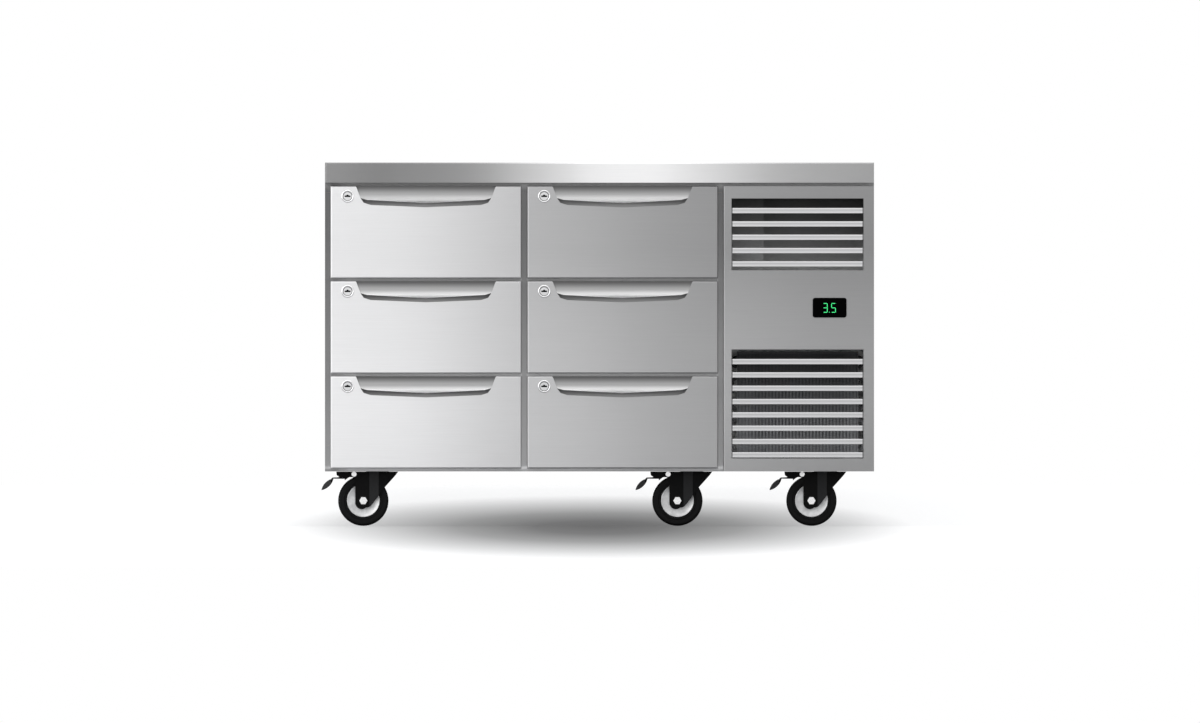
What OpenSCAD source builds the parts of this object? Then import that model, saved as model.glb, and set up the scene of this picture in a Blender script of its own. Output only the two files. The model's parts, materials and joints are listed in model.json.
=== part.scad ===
// Undercounter drawer refrigerator: worktop, two columns of three drawers and a machine bay, on six castors.
// Millimetres. X to the right, the front faces -Y, Z up. The origin is on the floor under the body's centre.

/* [Overall] */
// Width of the body and the worktop
body_w = 1360; // [1340:5:1500]
// Depth of the worktop from front edge to back edge
body_d = 700; // [695:5:760]
// Height of the worktop's upper side over the floor
body_h = 900; // [880:5:960]
// Thickness of the worktop with its folded edge
worktop_t = 50; // [40:1:60]
// Height of the body's lower edge over the floor
skirt_z = 135; // [135:1:150]
// How far the worktop runs past the cabinet's back
back_overhang = 10; // [0:1:20]
// How far the fronts stand behind the worktop's front edge
face_setback = 4; // [0:1:12]
// Radius of the bends in the visible sheet
bend_r = 3; // [1.5:0.5:5]

/* [Cabinet walls] */
// Thickness of the outer sheet
skin_t = 1; // [0.8:0.1:1.5]
// Thickness of the liner's sheet
liner_t = 1; // [0.8:0.1:1.5]
// Thickness of the foam in the walls
foam_t = 42; // [38:1:46]
// Height of the cold room's floor over the floor of the kitchen
cold_floor_z = 200; // [196:1:206]
// Height of the bottom pan over the body's lower edge
pan_rise = 20; // [20:1:24]
// Depth of the front frame's members
frame_d = 36; // [30:1:42]
// How far a front laps over a stile
lap_x = 30; // [28:1:34]
// How far a front laps over a rail
lap_z = 16; // [15.5:0.5:18]

/* [Drawer fronts] */
// Width of the machine bay's fascia
bay_w = 373; // [360:1:400]
// Thickness of an insulated front
front_t = 45; // [44:1:52]
// Width of the stile that shows at the left of the fronts
side_strip = 14; // [10:1:20]
// Gap between the two columns of fronts
column_gap = 15; // [10:1:20]
// Gap between the right column and the fascia
bay_gap = 14; // [10:1:20]
// Gap under the worktop
top_gap = 8.5; // [6:0.5:10]
// Gap between two fronts of a column
row_gap = 7.5; // [5:0.5:10]
// Gap between the lowest front and the body's lower edge
bottom_gap = 7.5; // [5:0.5:10]

/* [Pull] */
// Width of the pull's recess at the top edge of a front
pull_w = 347; // [300:1:360]
// Height of the recess at its middle
pull_h = 52; // [50:1:60]
// Depth of the finger pocket behind the lip
pull_d = 34; // [30:1:36]
// How far the lip starts behind the face
lip_setback = 10; // [6:1:12]
// Height of the land above the lip's root
lip_land = 6; // [4:1:8]
// Radius of the lip's curve
lip_r = 39; // [37:1:44]
// Thickness of the lip
lip_t = 2.5; // [2:0.5:3]
// Height of the lip at its middle
lip_h = 41.4; // [38:0.2:42]
// Height of the lip at its ends
lip_end_h = 29.5; // [26:0.5:31]

/* [Gasket] */
// Space that the gasket fills between a front and the frame
gasket_t = 8; // [7:0.5:10]
// Width of the gasket
gasket_w = 11; // [9:0.5:12]
// How far the gasket lies inside the edge of a front
gasket_inset = 3; // [2:0.5:4]
// Width of the gasket's foot in its groove
gasket_foot = 3; // [2:0.5:4]
// Depth of the gasket's groove
groove_d = 5; // [4:0.5:6]

/* [Lock] */
// Distance of the lock from a front's left edge
lock_x = 42; // [42:1:50]
// Distance of the lock from a front's top edge
lock_drop = 25; // [24:0.5:27]
// Diameter of the lock's bezel
bezel_d = 31; // [28:1:34]
// How far the bezel stands out of the face
bezel_out = 2.5; // [1.5:0.5:4]
// Diameter of the turning plug
plug_d = 23; // [18:1:24]
// Length of the plug
plug_len = 13; // [10:1:16]
// Diameter of the lock's shaft
shaft_d = 12; // [10:1:13]
// Length of the cam from the shaft's axis
cam_len = 28; // [26:1:28]
// Width of the cam
cam_w = 10; // [8:1:11]
// Thickness of the cam
cam_t = 3; // [2:0.5:4]
// Width of the key slot
key_w = 14; // [10:1:16]

/* [Drawer boxes and slides] */
// Clearance over a drawer box in its opening
box_top_room = 20; // [16:1:60]
// Height of a box's floor over the lower edge of its front
box_rise = 62; // [60:1:66]
// Clearance between a drawer box and the back of the cold room
box_back_room = 46; // [40:1:120]
// Thickness of the box's sheet
box_t = 1.5; // [1:0.1:2]
// Radius of the box's upright corners
box_r = 12; // [8:1:20]
// Width of an air slot in the box's floor
box_slot_w = 9; // [6:1:12]
// Distance from one row of air slots to the next
box_slot_pitch = 70; // [50:5:90]
// Width of the rim that is folded out at the top
rim_w = 9; // [6:1:10]
// Width of a telescopic slide from wall to box
slide_w = 13; // [12.7:0.1:15]
// Height of a slide
slide_h = 45; // [40:1:50]
// Clearance between a slide and the back of the cold room
slide_back_room = 41; // [36:1:100]
// Height of a slide's middle over the box's floor
slide_rise = 34; // [30:1:40]
// Thickness of the slide's sheet
slide_t = 1.5; // [1.2:0.1:1.8]

/* [Machine bay] */
// Width of the two louvre openings
grille_w = 327; // [300:1:330]
// Distance of the louvre openings from the fascia's left edge
grille_x = 20; // [16:1:24]
// Height of the upper opening
upper_h = 178; // [150:1:200]
// Distance of the upper opening from the fascia's top edge
upper_drop = 30.5; // [25:0.5:40]
// Height of the lower opening
lower_h = 270; // [230:1:290]
// Distance of the lower opening from the fascia's lower edge
lower_rise = 32; // [25:1:40]
// Height of one louvre blade
blade_h = 13; // [10:0.5:16]
// Distance from one blade to the next
blade_pitch = 33; // [28:0.5:36]
// Distance from the upper edge of an opening to its first blade
blade_drop = 23.5; // [16:0.5:24]
// Width of the display's bezel
display_w = 84; // [70:1:100]
// Height of the display's bezel
display_h = 49; // [40:1:60]
// Distance of the display's left edge from the fascia's left edge
display_x = 221; // [200:1:230]
// Distance of the display's upper edge from the fascia's top edge
display_drop = 276.5; // [270:0.5:290]
// Width of the condenser's coil
coil_w = 300; // [260:5:310]
// Height of the condenser's coil
coil_h = 260; // [220:5:270]
// Diameter of the condenser fan
fan_d = 200; // [170:5:220]
// Diameter of the condenser fan's hub
fan_hub = 56; // [46:1:60]
// Depth of the condenser fan
fan_depth = 24; // [18:1:26]
// Diameter of the compressor's shell
compressor_d = 160; // [140:5:170]
// Height of the compressor's shell
compressor_h = 190; // [170:5:210]
// Width of the evaporator's alcove
alcove_w = 100; // [90:1:110]
// Diameter of the evaporator fan
evap_fan_d = 92; // [80:1:94]
// Depth of the wall between the alcove's front and the cabinet's middle
alcove_y0 = 20; // [10:5:60]
// Length of the air slots in the alcove's cover and in the cabinet's back
air_slot_len = 180; // [120:5:200]
// Hole in the back for the supply cable
gland_bore = 10; // [8:0.5:12]

/* [Castors] */
// Diameter of a wheel
wheel_d = 125; // [100:1:125]
// Width of a wheel
wheel_w = 32; // [28:1:36]
// Diameter of the wheel's bright hub
hub_d = 81; // [60:1:86]
// How far the wheel's axle trails its kingpin
trail = 35; // [30:1:40]
// Diameter of the axle
axle_d = 12; // [10:1:14]
// Diameter of the kingpin
kingpin_d = 12; // [10:1:14]
// Thickness of the fork's sheet
fork_t = 3; // [2.5:0.5:4]
// Width of a castor's top plate along X
plate_w = 100; // [90:1:110]
// Width of a castor's top plate along Y
plate_d = 85; // [80:1:95]
// Thickness of a top plate
plate_t = 3; // [2.5:0.5:4]
// Distance of the left kingpin from the body's left side
castor_x1 = 130; // [120:1:150]
// Distance of the middle kingpin from the body's left side
castor_x2 = 908; // [850:1:920]
// Distance of the right kingpin from the body's left side
castor_x3 = 1240; // [1220:1:1245]
// Distance of the front kingpins from the frame's face
castor_front = 58; // [56:1:80]
// Distance of the rear kingpins from the cabinet's back
castor_back = 75; // [60:1:90]

/* [Hidden] */
ROWS = 3;
COLUMNS = 2;
DRAWERS = [for (n = [1 : ROWS * COLUMNS]) n];
CASTORS = [for (n = [1 : 6]) n];
BRAKED = [1, 2, 3];
$fn = 48;

run_fit = 0.05;   // radial clearance of a pin in its hole
slide_fit = 0.4;  // clearance between the members of a slide
seat_gap = 0.3;   // clearance between pieces that only lie close
eps = 0.5;        // how far one solid reaches into the one that it is welded to

// Planes of the cabinet
left = -body_w / 2;
right = body_w / 2;
top = body_h - worktop_t;
face_y = -body_d / 2 + face_setback;
front_back_y = face_y + front_t;
frame_y = front_back_y + gasket_t;
frame_back_y = frame_y + frame_d;
back_y = body_d / 2 - back_overhang;
pan_z = skirt_z + pan_rise;
skirt_t = 2;

// Drawer fronts
front_w = (body_w - side_strip - column_gap - bay_gap - bay_w) / COLUMNS;
front_h = (top - top_gap - skirt_z - bottom_gap - (ROWS - 1) * row_gap) / ROWS;
row_pitch = front_h + row_gap;
column_pitch = front_w + column_gap;
function column_of(n) = floor((n - 1) / ROWS);
function row_of(n) = (n - 1) % ROWS;
function front_x(n) = left + side_strip + front_w / 2 + column_of(n) * column_pitch;
function front_z(n) = skirt_z + bottom_gap + (ROWS - 1 - row_of(n)) * row_pitch;

// Openings of the front frame and the cold room behind them
open_w = front_w - 2 * lap_x;
cold_x0 = front_x(1) - open_w / 2;
cold_x1 = front_x(ROWS + 1) + open_w / 2;
cold_top = top - top_gap - lap_z;
cold_y1 = back_y - skin_t - foam_t - liner_t;
box_h = front_h - lap_z - box_rise - box_top_room;
box_len = cold_y1 - front_back_y - box_back_room;
slide_y0 = frame_y + 8;
slide_len = cold_y1 - slide_y0 - slide_back_room;
post_x0 = front_x(1) + open_w / 2;
post_x1 = front_x(ROWS + 1) - open_w / 2;
alcove_x1 = cold_x1 + alcove_w;

// Machine bay
bay_x0 = right - bay_w;
bay_x1 = right - skin_t;
fascia_top = top - top_gap;
coil_x = bay_x0 + grille_x + grille_w / 2;
coil_z = skirt_z + lower_rise + lower_h / 2;
coil_y0 = frame_y + 3;
coil_d = 65;
shroud_d = 32;
fan_y = coil_y0 + coil_d + shroud_d;
rear_x = (alcove_x1 + liner_t + foam_t + bay_x1) / 2;

// Castors
axle_z = wheel_d / 2;
wheel_r = wheel_d / 2;
leg_in = wheel_w / 2 + 3;
leg_out = leg_in + fork_t;
crown_t = 5;
crown_z = skirt_z - seat_gap - 0.2 - crown_t;
race_z = crown_z + crown_t;
race_r = 33;
function castor_x(n) = left + [castor_x1, castor_x2, castor_x3][(n - 1) % 3];
function castor_y(n) = n <= 3 ? frame_y + castor_front : back_y - castor_back;

// ---------------------------------------------------------------- helpers
// An outline drawn in X and Z, made solid from y0 to y1
module along_y(y0, y1) {
    translate([0, y1, 0])
        rotate([90, 0, 0])
            linear_extrude(y1 - y0)
                children();
}

// An outline drawn in Y and Z, made solid from x0 to x1
module along_x(x0, x1) {
    translate([x0, 0, 0])
        rotate([90, 0, 90])
            linear_extrude(x1 - x0)
                children();
}

// A round bar along Y, from y0 to y1
module bar_y(y0, y1, d) {
    translate([0, y1, 0])
        rotate([90, 0, 0])
            cylinder(h = y1 - y0, d = d);
}

// A rectangle with round corners, centred
module rounded(w, h, r) {
    square([w - 2 * r, h], center = true);
    square([w, h - 2 * r], center = true);
    for (x = [-1, 1], y = [-1, 1])
        translate([x * (w / 2 - r), y * (h / 2 - r)])
            circle(r);
}

// A rectangle from (x0, y0) to (x1, y1)
module from_to(x0, y0, x1, y1) {
    translate([x0, y0])
        square([x1 - x0, y1 - y0]);
}

// A slot with round ends, centred, along X
module slot(length, width) {
    square([length - width, width], center = true);
    for (x = [-1, 1])
        translate([x * (length - width) / 2, 0])
            circle(d = width);
}

// A rectangle whose two corners at y = y0 are round
module nosed(x0, x1, y0, y1, r) {
    from_to(x0, y0 + r, x1, y1);
    from_to(x0 + r, y0, x1 - r, y0 + 2 * r);
    for (x = [x0 + r, x1 - r])
        translate([x, y0 + r])
            circle(r);
}

// A bent pipe: a straight leg, a quarter bend and a second leg, in the X-Z plane
module elbow(leg_1, leg_2, bend, d) {
    cylinder(h = leg_1, d = d);
    translate([bend, 0, leg_1])
        rotate([90, 0, 0])
            rotate([0, 0, 90])
                rotate_extrude(angle = 90)
                    translate([bend, 0])
                        circle(d = d);
    translate([bend, 0, leg_1 + bend])
        rotate([0, 90, 0])
            cylinder(h = leg_2, d = d);
}

// ---------------------------------------------------------------- drawers
// Moves a piece of a drawer to its front's place: X from the front's middle, Z from its lower edge
module at_drawer(n) {
    translate([front_x(n), 0, front_z(n)])
        children();
}

// Outline of the pull's recess, from the top edge of the front down to its shallow V
module pull_outline() {
    half = pull_w / 2;
    up = front_h;
    polygon([
        [-half, up + 1], [half, up + 1], [half - 11.5, up - lip_end_h],
        [half - 19.5, up - pull_h + 11], [half - 37, up - pull_h + 5.4], [0, up - pull_h],
        [-half + 37, up - pull_h + 5.4], [-half + 19.5, up - pull_h + 11], [-half + 11.5, up - lip_end_h]
    ]);
}

// Outline of the lip, whose free edge is a shallow V
module lip_outline() {
    half = pull_w / 2 + eps;
    up = front_h;
    polygon([
        [-half, up - lip_land + eps], [half, up - lip_land + eps], [half - 11.5, up - lip_end_h],
        [half - 29, up - lip_end_h - 4.5], [0, up - lip_h],
        [-half + 29, up - lip_end_h - 4.5], [-half + 11.5, up - lip_end_h]
    ]);
}

// Section of the lip in Y and Z: it drops from the land and curls forward
module lip_section() {
    y = face_y + lip_setback - lip_r;
    z = front_h - lip_land;
    difference() {
        translate([y, z])
            circle(lip_r + lip_t, $fn = 96);
        translate([y, z])
            circle(lip_r, $fn = 96);
        from_to(y - 2 * lip_r, z, y + 2 * lip_r, z + 2 * lip_r);
        from_to(y - 2 * lip_r, z - 2 * lip_r, y, z + 2 * lip_r);
    }
    from_to(face_y + lip_setback, z - eps, face_y + lip_setback + lip_t, z + eps);
}

// A ring that follows a front's edge, from inset inwards by w
module edge_ring(inset, w) {
    translate([0, front_h / 2])
        difference() {
            square([front_w - 2 * inset, front_h - 2 * inset], center = true);
            square([front_w - 2 * (inset + w), front_h - 2 * (inset + w)], center = true);
        }
}

// Place of the lock on a front, in X and Z
module at_lock() {
    translate([-front_w / 2 + lock_x, 0, front_h - lock_drop])
        children();
}

module drawer_front() {
    color("gainsboro")
    difference() {
        union() {
            difference() {
                intersection() {
                    linear_extrude(front_h)
                        nosed(-front_w / 2, front_w / 2, face_y, front_back_y, bend_r);
                    along_x(-front_w / 2, front_w / 2)
                        rotate([0, 0, 90])
                            mirror([0, 1])
                                nosed(0, front_h, face_y, front_back_y, bend_r);
                }
                // recess in front of the lip, open at the top
                along_y(face_y - 1, face_y + lip_setback)
                    pull_outline();
                // finger pocket behind the lip, closed at the top by the land
                along_y(face_y + lip_setback - 1, face_y + pull_d)
                    difference() {
                        pull_outline();
                        from_to(-pull_w, front_h - lip_land, pull_w, front_h + 2);
                    }
                // groove for the gasket's foot
                along_y(front_back_y - groove_d, front_back_y + 1)
                    edge_ring(gasket_inset + (gasket_w - gasket_foot) / 2, gasket_foot);
            }
            intersection() {
                along_x(-pull_w / 2 - eps, pull_w / 2 + eps)
                    lip_section();
                along_y(face_y - lip_r, face_y + pull_d)
                    lip_outline();
            }
            at_lock()
                bar_y(face_y - bezel_out, face_y + eps, bezel_d);
        }
        at_lock()
            bar_y(face_y - bezel_out - 1, face_y + plug_len, plug_d);
        at_lock()
            bar_y(face_y, front_back_y + 1, shaft_d + 2 * run_fit);
    }
}

module drawer_gasket() {
    foot_inset = gasket_inset + (gasket_w - gasket_foot) / 2;
    seat_y = frame_y - seat_gap;
    color("dimgray") {
        along_y(front_back_y, front_back_y + 2)
            edge_ring(gasket_inset, gasket_w);
        along_y(front_back_y + 2 - eps, seat_y - 3)
            edge_ring(gasket_inset + 2, gasket_w - 4);
        along_y(seat_y - 3.5, seat_y)
            edge_ring(gasket_inset + 1, gasket_w - 2);
        along_y(front_back_y - groove_d + seat_gap, front_back_y + eps)
            edge_ring(foot_inset, gasket_foot);
    }
}

// Height of the sections inside a slide, each clear of the one that holds it
mid_h = slide_h - 2 * slide_t - 2 * slide_fit;
inner_h = mid_h - 2 * slide_t - 2 * slide_fit;

// Sections of a slide in X and Z, X from the wall towards the box, Z from the slide's middle
module fixed_section() {
    from_to(0, -slide_h / 2, slide_t, slide_h / 2);
    for (z = [-slide_h / 2, slide_h / 2 - slide_t])
        from_to(0, z, slide_w - 2, z + slide_t);
}

module mid_section() {
    web = (slide_w - slide_t) / 2;
    from_to(web, -mid_h / 2, web + slide_t, mid_h / 2);
    for (z = [-mid_h / 2, mid_h / 2 - slide_t])
        from_to(slide_t + slide_fit, z, slide_w - slide_t - slide_fit, z + slide_t);
}

module inner_section() {
    web = (slide_w - slide_t) / 2 + slide_t + slide_fit;
    from_to(slide_w - slide_t, -inner_h / 2, slide_w + eps / 2, inner_h / 2);
    for (z = [-inner_h / 2, inner_h / 2 - slide_t])
        from_to(web, z, slide_w, z + slide_t);
}

// Both slides of a drawer: the section is drawn once and mirrored to the other side
module slide_pair(y0) {
    for (side = [0, 1])
        mirror([side, 0, 0])
            translate([-open_w / 2, 0, box_rise + slide_rise])
                along_y(y0, y0 + slide_len)
                    children();
}

module drawer_slides() {
    color("silver")
        slide_pair(slide_y0 + 2)
            mid_section();
}

module drawer_box() {
    w = open_w - 2 * slide_w;
    mid_y = front_back_y + box_len / 2;
    slots_x = 3;
    slots_y = floor((box_len - 60) / box_slot_pitch);
    color("lightgray") {
        difference() {
            translate([0, mid_y, box_rise])
                linear_extrude(box_h)
                    rounded(w, box_len, box_r);
            translate([0, mid_y, box_rise + box_t])
                linear_extrude(box_h)
                    rounded(w - 2 * box_t, box_len - 2 * box_t, box_r - box_t);
            // air slots in the floor
            for (ix = [0 : slots_x - 1], iy = [0 : slots_y - 1])
                translate([(ix - (slots_x - 1) / 2) * w / slots_x,
                    mid_y + (iy - (slots_y - 1) / 2) * box_slot_pitch, box_rise - 1])
                    linear_extrude(box_t + 2)
                        slot(w / slots_x - 30, box_slot_w);
        }
        // rim folded out over the slides
        translate([0, mid_y + rim_w / 2, box_rise + box_h - box_t])
            linear_extrude(box_t)
                difference() {
                    rounded(w + 2 * rim_w, box_len + rim_w, box_r);
                    translate([0, -rim_w / 2])
                        rounded(w - 2 * box_t, box_len - 2 * box_t, box_r - box_t);
                }
        slide_pair(slide_y0)
            inner_section();
    }
}

// Height of the cam's plane behind the frame's face, where the slot in the rail takes it
cam_y = frame_y + 15;
cam_room = 4;

module drawer_lock() {
    color("silver")
    at_lock()
    difference() {
        union() {
            bar_y(face_y - bezel_out + 1, face_y + plug_len - seat_gap, plug_d - 2 * run_fit);
            bar_y(face_y + plug_len - 1, cam_y + eps, shaft_d);
            along_y(cam_y, cam_y + cam_t) {
                circle(d = shaft_d + 4);
                from_to(0, -cam_w / 2, cam_len - cam_w / 2, cam_w / 2);
                translate([cam_len - cam_w / 2, 0])
                    circle(d = cam_w);
            }
            translate([0, cam_y + cam_t + 3, 0])
                rotate([90, 0, 0])
                    cylinder(h = 3 + eps, d = shaft_d, $fn = 6);
        }
        // key slot with its round middle
        along_y(face_y - bezel_out, face_y - bezel_out + 4) {
            slot(key_w, 3.6);
            translate([0, 1])
                circle(d = 6);
        }
    }
}

// ---------------------------------------------------------------- cabinet
module worktop() {
    y0 = -body_d / 2;
    y1 = body_d / 2;
    hem = 16;
    drip = 14;
    color("gainsboro")
    difference() {
        intersection() {
            translate([0, 0, top])
                linear_extrude(worktop_t)
                    rounded(body_w, body_d, bend_r);
            along_x(left, right)
                rotate([0, 0, 180])
                    nosed(-y1, -y0, -body_h, -top, bend_r);
        }
        // hollow under the overhang, behind the folded front edge
        translate([left + hem, y0 + hem, top - 1])
            cube([body_w - 2 * hem, frame_y - y0 - hem, drip + 1]);
    }
}

// The bars round the drawers' openings: a sill and a top rail, three posts between them, and the crossbars
module front_frame() {
    joint = 0.2;
    slot_top = front_h - lock_drop + cam_len + 2;
    posts = [
        [left, front_x(1) - open_w / 2],
        [front_x(1) + open_w / 2, front_x(1 + ROWS) - open_w / 2],
        [front_x(1 + ROWS) + open_w / 2, bay_x0]
    ];
    color("silver")
    difference() {
        along_y(frame_y, frame_back_y) {
            from_to(left, skirt_z, bay_x0, cold_floor_z);
            from_to(left, cold_top, right, top);
            for (post = posts)
                from_to(post[0], cold_floor_z + joint, post[1], cold_top - joint);
            for (n = DRAWERS)
                if (row_of(n) < ROWS - 1)
                    from_to(
                        front_x(n) - open_w / 2 + joint, front_z(n + 1) + front_h - lap_z,
                        front_x(n) + open_w / 2 - joint, front_z(n) + lap_z
                    );
        }
        // below the sill only the skirt's sheet goes down
        translate([left - 1, frame_y + skirt_t, skirt_z - 1])
            cube([body_w + 2, frame_d, pan_z + skin_t - skirt_z + 1]);
        // notches in the back of the rails, in which the cams catch behind the frame's face
        for (n = DRAWERS)
            at_drawer(n)
                translate([-front_w / 2 + lock_x, 0, 0])
                    along_y(cam_y - cam_room, frame_back_y + 1)
                        from_to(-cam_w / 2 - cam_room, front_h - lap_z - 1, cam_len + cam_room, slot_top);
    }
}

// Plan of the cold room with its alcove, grown by g on every side but the front
module cold_plan(g) {
    polygon([
        [cold_x0 - g, frame_back_y], [cold_x1 + g, frame_back_y], [cold_x1 + g, alcove_y0 - g],
        [alcove_x1 + g, alcove_y0 - g], [alcove_x1 + g, cold_y1 + g], [cold_x0 - g, cold_y1 + g]
    ]);
}

evap_fan_y = (alcove_y0 + cold_y1) / 2;
evap_fan_z = front_z(1) + (box_rise - row_gap - (row_pitch - box_rise - box_h)) / 2 + row_gap / 2;

module inner_liner() {
    color("lightgray") {
        difference() {
            translate([0, 0, cold_floor_z - liner_t])
                linear_extrude(cold_top - cold_floor_z + 2 * liner_t)
                    cold_plan(liner_t);
            translate([0, 0, cold_floor_z])
                linear_extrude(cold_top - cold_floor_z)
                    cold_plan(0);
            translate([cold_x0, frame_back_y - 1, cold_floor_z])
                cube([cold_x1 - cold_x0, 3, cold_top - cold_floor_z]);
        }
        // cover of the evaporator's alcove, with the fan's opening and the return slots
        along_x(cold_x1, cold_x1 + liner_t)
            difference() {
                from_to(alcove_y0 + seat_gap, cold_floor_z + seat_gap, cold_y1 - seat_gap, cold_top - seat_gap);
                translate([evap_fan_y, evap_fan_z])
                    circle(d = evap_fan_d + 8);
                for (i = [0 : 5])
                    translate([evap_fan_y, cold_floor_z + 22 + i * 12])
                        slot(air_slot_len, 5);
            }
    }
}

// Inside of the shell's skin, seen from above
module skin_inside() {
    translate([0, (back_y + frame_y) / 2])
        rounded(body_w - 2 * skin_t, back_y - frame_y - 2 * skin_t, bend_r - skin_t);
}

module insulation() {
    color("khaki")
    difference() {
        translate([0, 0, pan_z + skin_t])
            linear_extrude(top - pan_z - skin_t)
                intersection() {
                    cold_plan(liner_t + foam_t);
                    skin_inside();
                }
        translate([0, 0, cold_floor_z - liner_t])
            linear_extrude(cold_top - cold_floor_z + 2 * liner_t)
                cold_plan(liner_t);
    }
}

module cabinet_shell() {
    depth = back_y - frame_y;
    mid_y = (back_y + frame_y) / 2;
    gland_z = pan_z + 60;
    color("silver") {
        difference() {
            translate([0, mid_y, skirt_z])
                linear_extrude(top - skirt_z)
                    difference() {
                        rounded(body_w, depth, bend_r);
                        translate([0, -mid_y])
                            skin_inside();
                        // open at the front, where the frame and the fascia close it
                        translate([0, -depth / 2])
                            square([body_w + 2, 2 * frame_d], center = true);
                    }
            // air slots in the back of the machine bay
            for (i = [0 : 7])
                translate([rear_x, 0, upper_z - 16 - i * 20])
                    along_y(back_y - 5, back_y + 5)
                        slot(air_slot_len, 7);
            translate([rear_x, 0, gland_z])
                bar_y(back_y - 5, back_y + 5, gland_bore + 6);
        }
        // the sides' front ends: beside the frame's skirt on the left, and up to its top rail on the right
        translate([left, frame_y + skirt_t, skirt_z])
            cube([skin_t, frame_d, pan_z + skin_t - skirt_z]);
        translate([right - skin_t, frame_y, skirt_z])
            cube([skin_t, frame_d + eps, cold_top - skirt_z - seat_gap]);
        // bottom pan
        translate([left + skin_t - eps, frame_y + skirt_t, pan_z])
            cube([body_w - 2 * skin_t + 2 * eps, back_y - skin_t + eps - frame_y - skirt_t, skin_t]);
        // bulkhead between the insulation and the machine bay
        translate([0, 0, pan_z])
            linear_extrude(top - pan_z)
                difference() {
                    cold_plan(liner_t + foam_t + skin_t);
                    cold_plan(liner_t + foam_t);
                    from_to(left - 10, frame_back_y - 10, cold_x1, back_y + 10);
                    from_to(cold_x1, back_y - skin_t + eps, right, back_y + 10);
                }
        // cable gland
        translate([rear_x, 0, gland_z])
            difference() {
                union() {
                    bar_y(back_y - 14, back_y + eps, gland_bore + 6);
                    bar_y(back_y, back_y + 5, gland_bore + 12);
                    translate([0, back_y - skin_t, 0])
                        rotate([90, 0, 0])
                            cylinder(h = 4, d = gland_bore + 13, $fn = 6);
                }
                bar_y(back_y - 20, back_y + 10, gland_bore);
            }
    }
}

// ---------------------------------------------------------------- slides that stay in the cabinet
module slide_rack() {
    rack_gap = 0.2;
    post_d = 30;
    wall = 1.5;
    color("silver") {
        for (n = DRAWERS)
            at_drawer(n)
                slide_pair(slide_y0)
                    fixed_section();
        // upright posts between the columns: square tubes from floor to ceiling
        for (y = [frame_back_y, (frame_back_y + cold_y1 - post_d) / 2, cold_y1 - post_d])
            translate([(post_x0 + post_x1) / 2, y + post_d / 2, cold_floor_z])
                linear_extrude(cold_top - cold_floor_z)
                    difference() {
                        rounded(post_x1 - post_x0 - 2 * rack_gap, post_d, 3);
                        rounded(post_x1 - post_x0 - 2 * rack_gap - 2 * wall, post_d - 2 * wall, 1.5);
                    }
    }
}

// ---------------------------------------------------------------- machine bay
// Number of blades in an opening of this height
function blades_in(h) = 1 + floor((h - blade_drop - blade_h) / blade_pitch);

// Height range of each louvre opening and its number of blades: [low, high, blades]
lower_z = skirt_z + lower_rise;
upper_z = fascia_top - upper_drop - upper_h;
grilles = [
    [upper_z, upper_z + upper_h, blades_in(upper_h)],
    [lower_z, lower_z + lower_h, blades_in(lower_h)]
];
grille_x0 = bay_x0 + grille_x;
grille_rim = 14;

module display_outline(grow) {
    translate([bay_x0 + display_x + display_w / 2, fascia_top - display_drop - display_h / 2])
        rounded(display_w + 2 * grow, display_h + 2 * grow, 6);
}

module fascia_panel() {
    sheet = 1.2;
    depth = frame_y - face_y;
    mid_x = (bay_x0 + right) / 2;
    color("silver")
    difference() {
        union() {
            difference() {
                translate([0, 0, skirt_z])
                    linear_extrude(fascia_top - skirt_z)
                        nosed(bay_x0, right, face_y, frame_y, bend_r);
                translate([0, 0, skirt_z + sheet])
                    linear_extrude(fascia_top - skirt_z - 2 * sheet)
                        nosed(bay_x0 + sheet, right - sheet, face_y + sheet, frame_y + 1, bend_r - sheet);
            }
            // rims folded in round the louvre openings
            for (g = grilles)
                along_y(face_y, face_y + grille_rim)
                    from_to(grille_x0 - sheet, g[0] - sheet, grille_x0 + grille_w + sheet, g[1] + sheet);
        }
        for (g = grilles)
            along_y(face_y - 1, face_y + grille_rim + 1)
                from_to(grille_x0, g[0], grille_x0 + grille_w, g[1]);
        along_y(face_y - 1, face_y + 5)
            display_outline(-4);
    }
}

// Section of a louvre blade in Y and Z, from its upper edge: a face that leans back, folded in at the top and bottom
module blade_section() {
    sheet = 1.2;
    lean = 4;
    fold = 9;
    polygon([
        [fold, 0], [lean, 0], [0, -blade_h + 2], [0, -blade_h], [fold - 3, -blade_h],
        [fold - 3, -blade_h + sheet], [sheet, -blade_h + sheet], [sheet, -blade_h + 2],
        [lean + sheet - 0.4, -sheet], [fold, -sheet]
    ]);
}

module louvres() {
    color("gainsboro")
    for (g = grilles, i = [0 : g[2] - 1])
        along_x(grille_x0, grille_x0 + grille_w)
            translate([face_y + 2, g[1] - blade_drop - i * blade_pitch])
                blade_section();
}

module display_module() {
    color("black") {
        along_y(face_y - 2, face_y)
            display_outline(0);
        along_y(face_y - eps, face_y + 40)
            display_outline(-4.3);
    }
}

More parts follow.
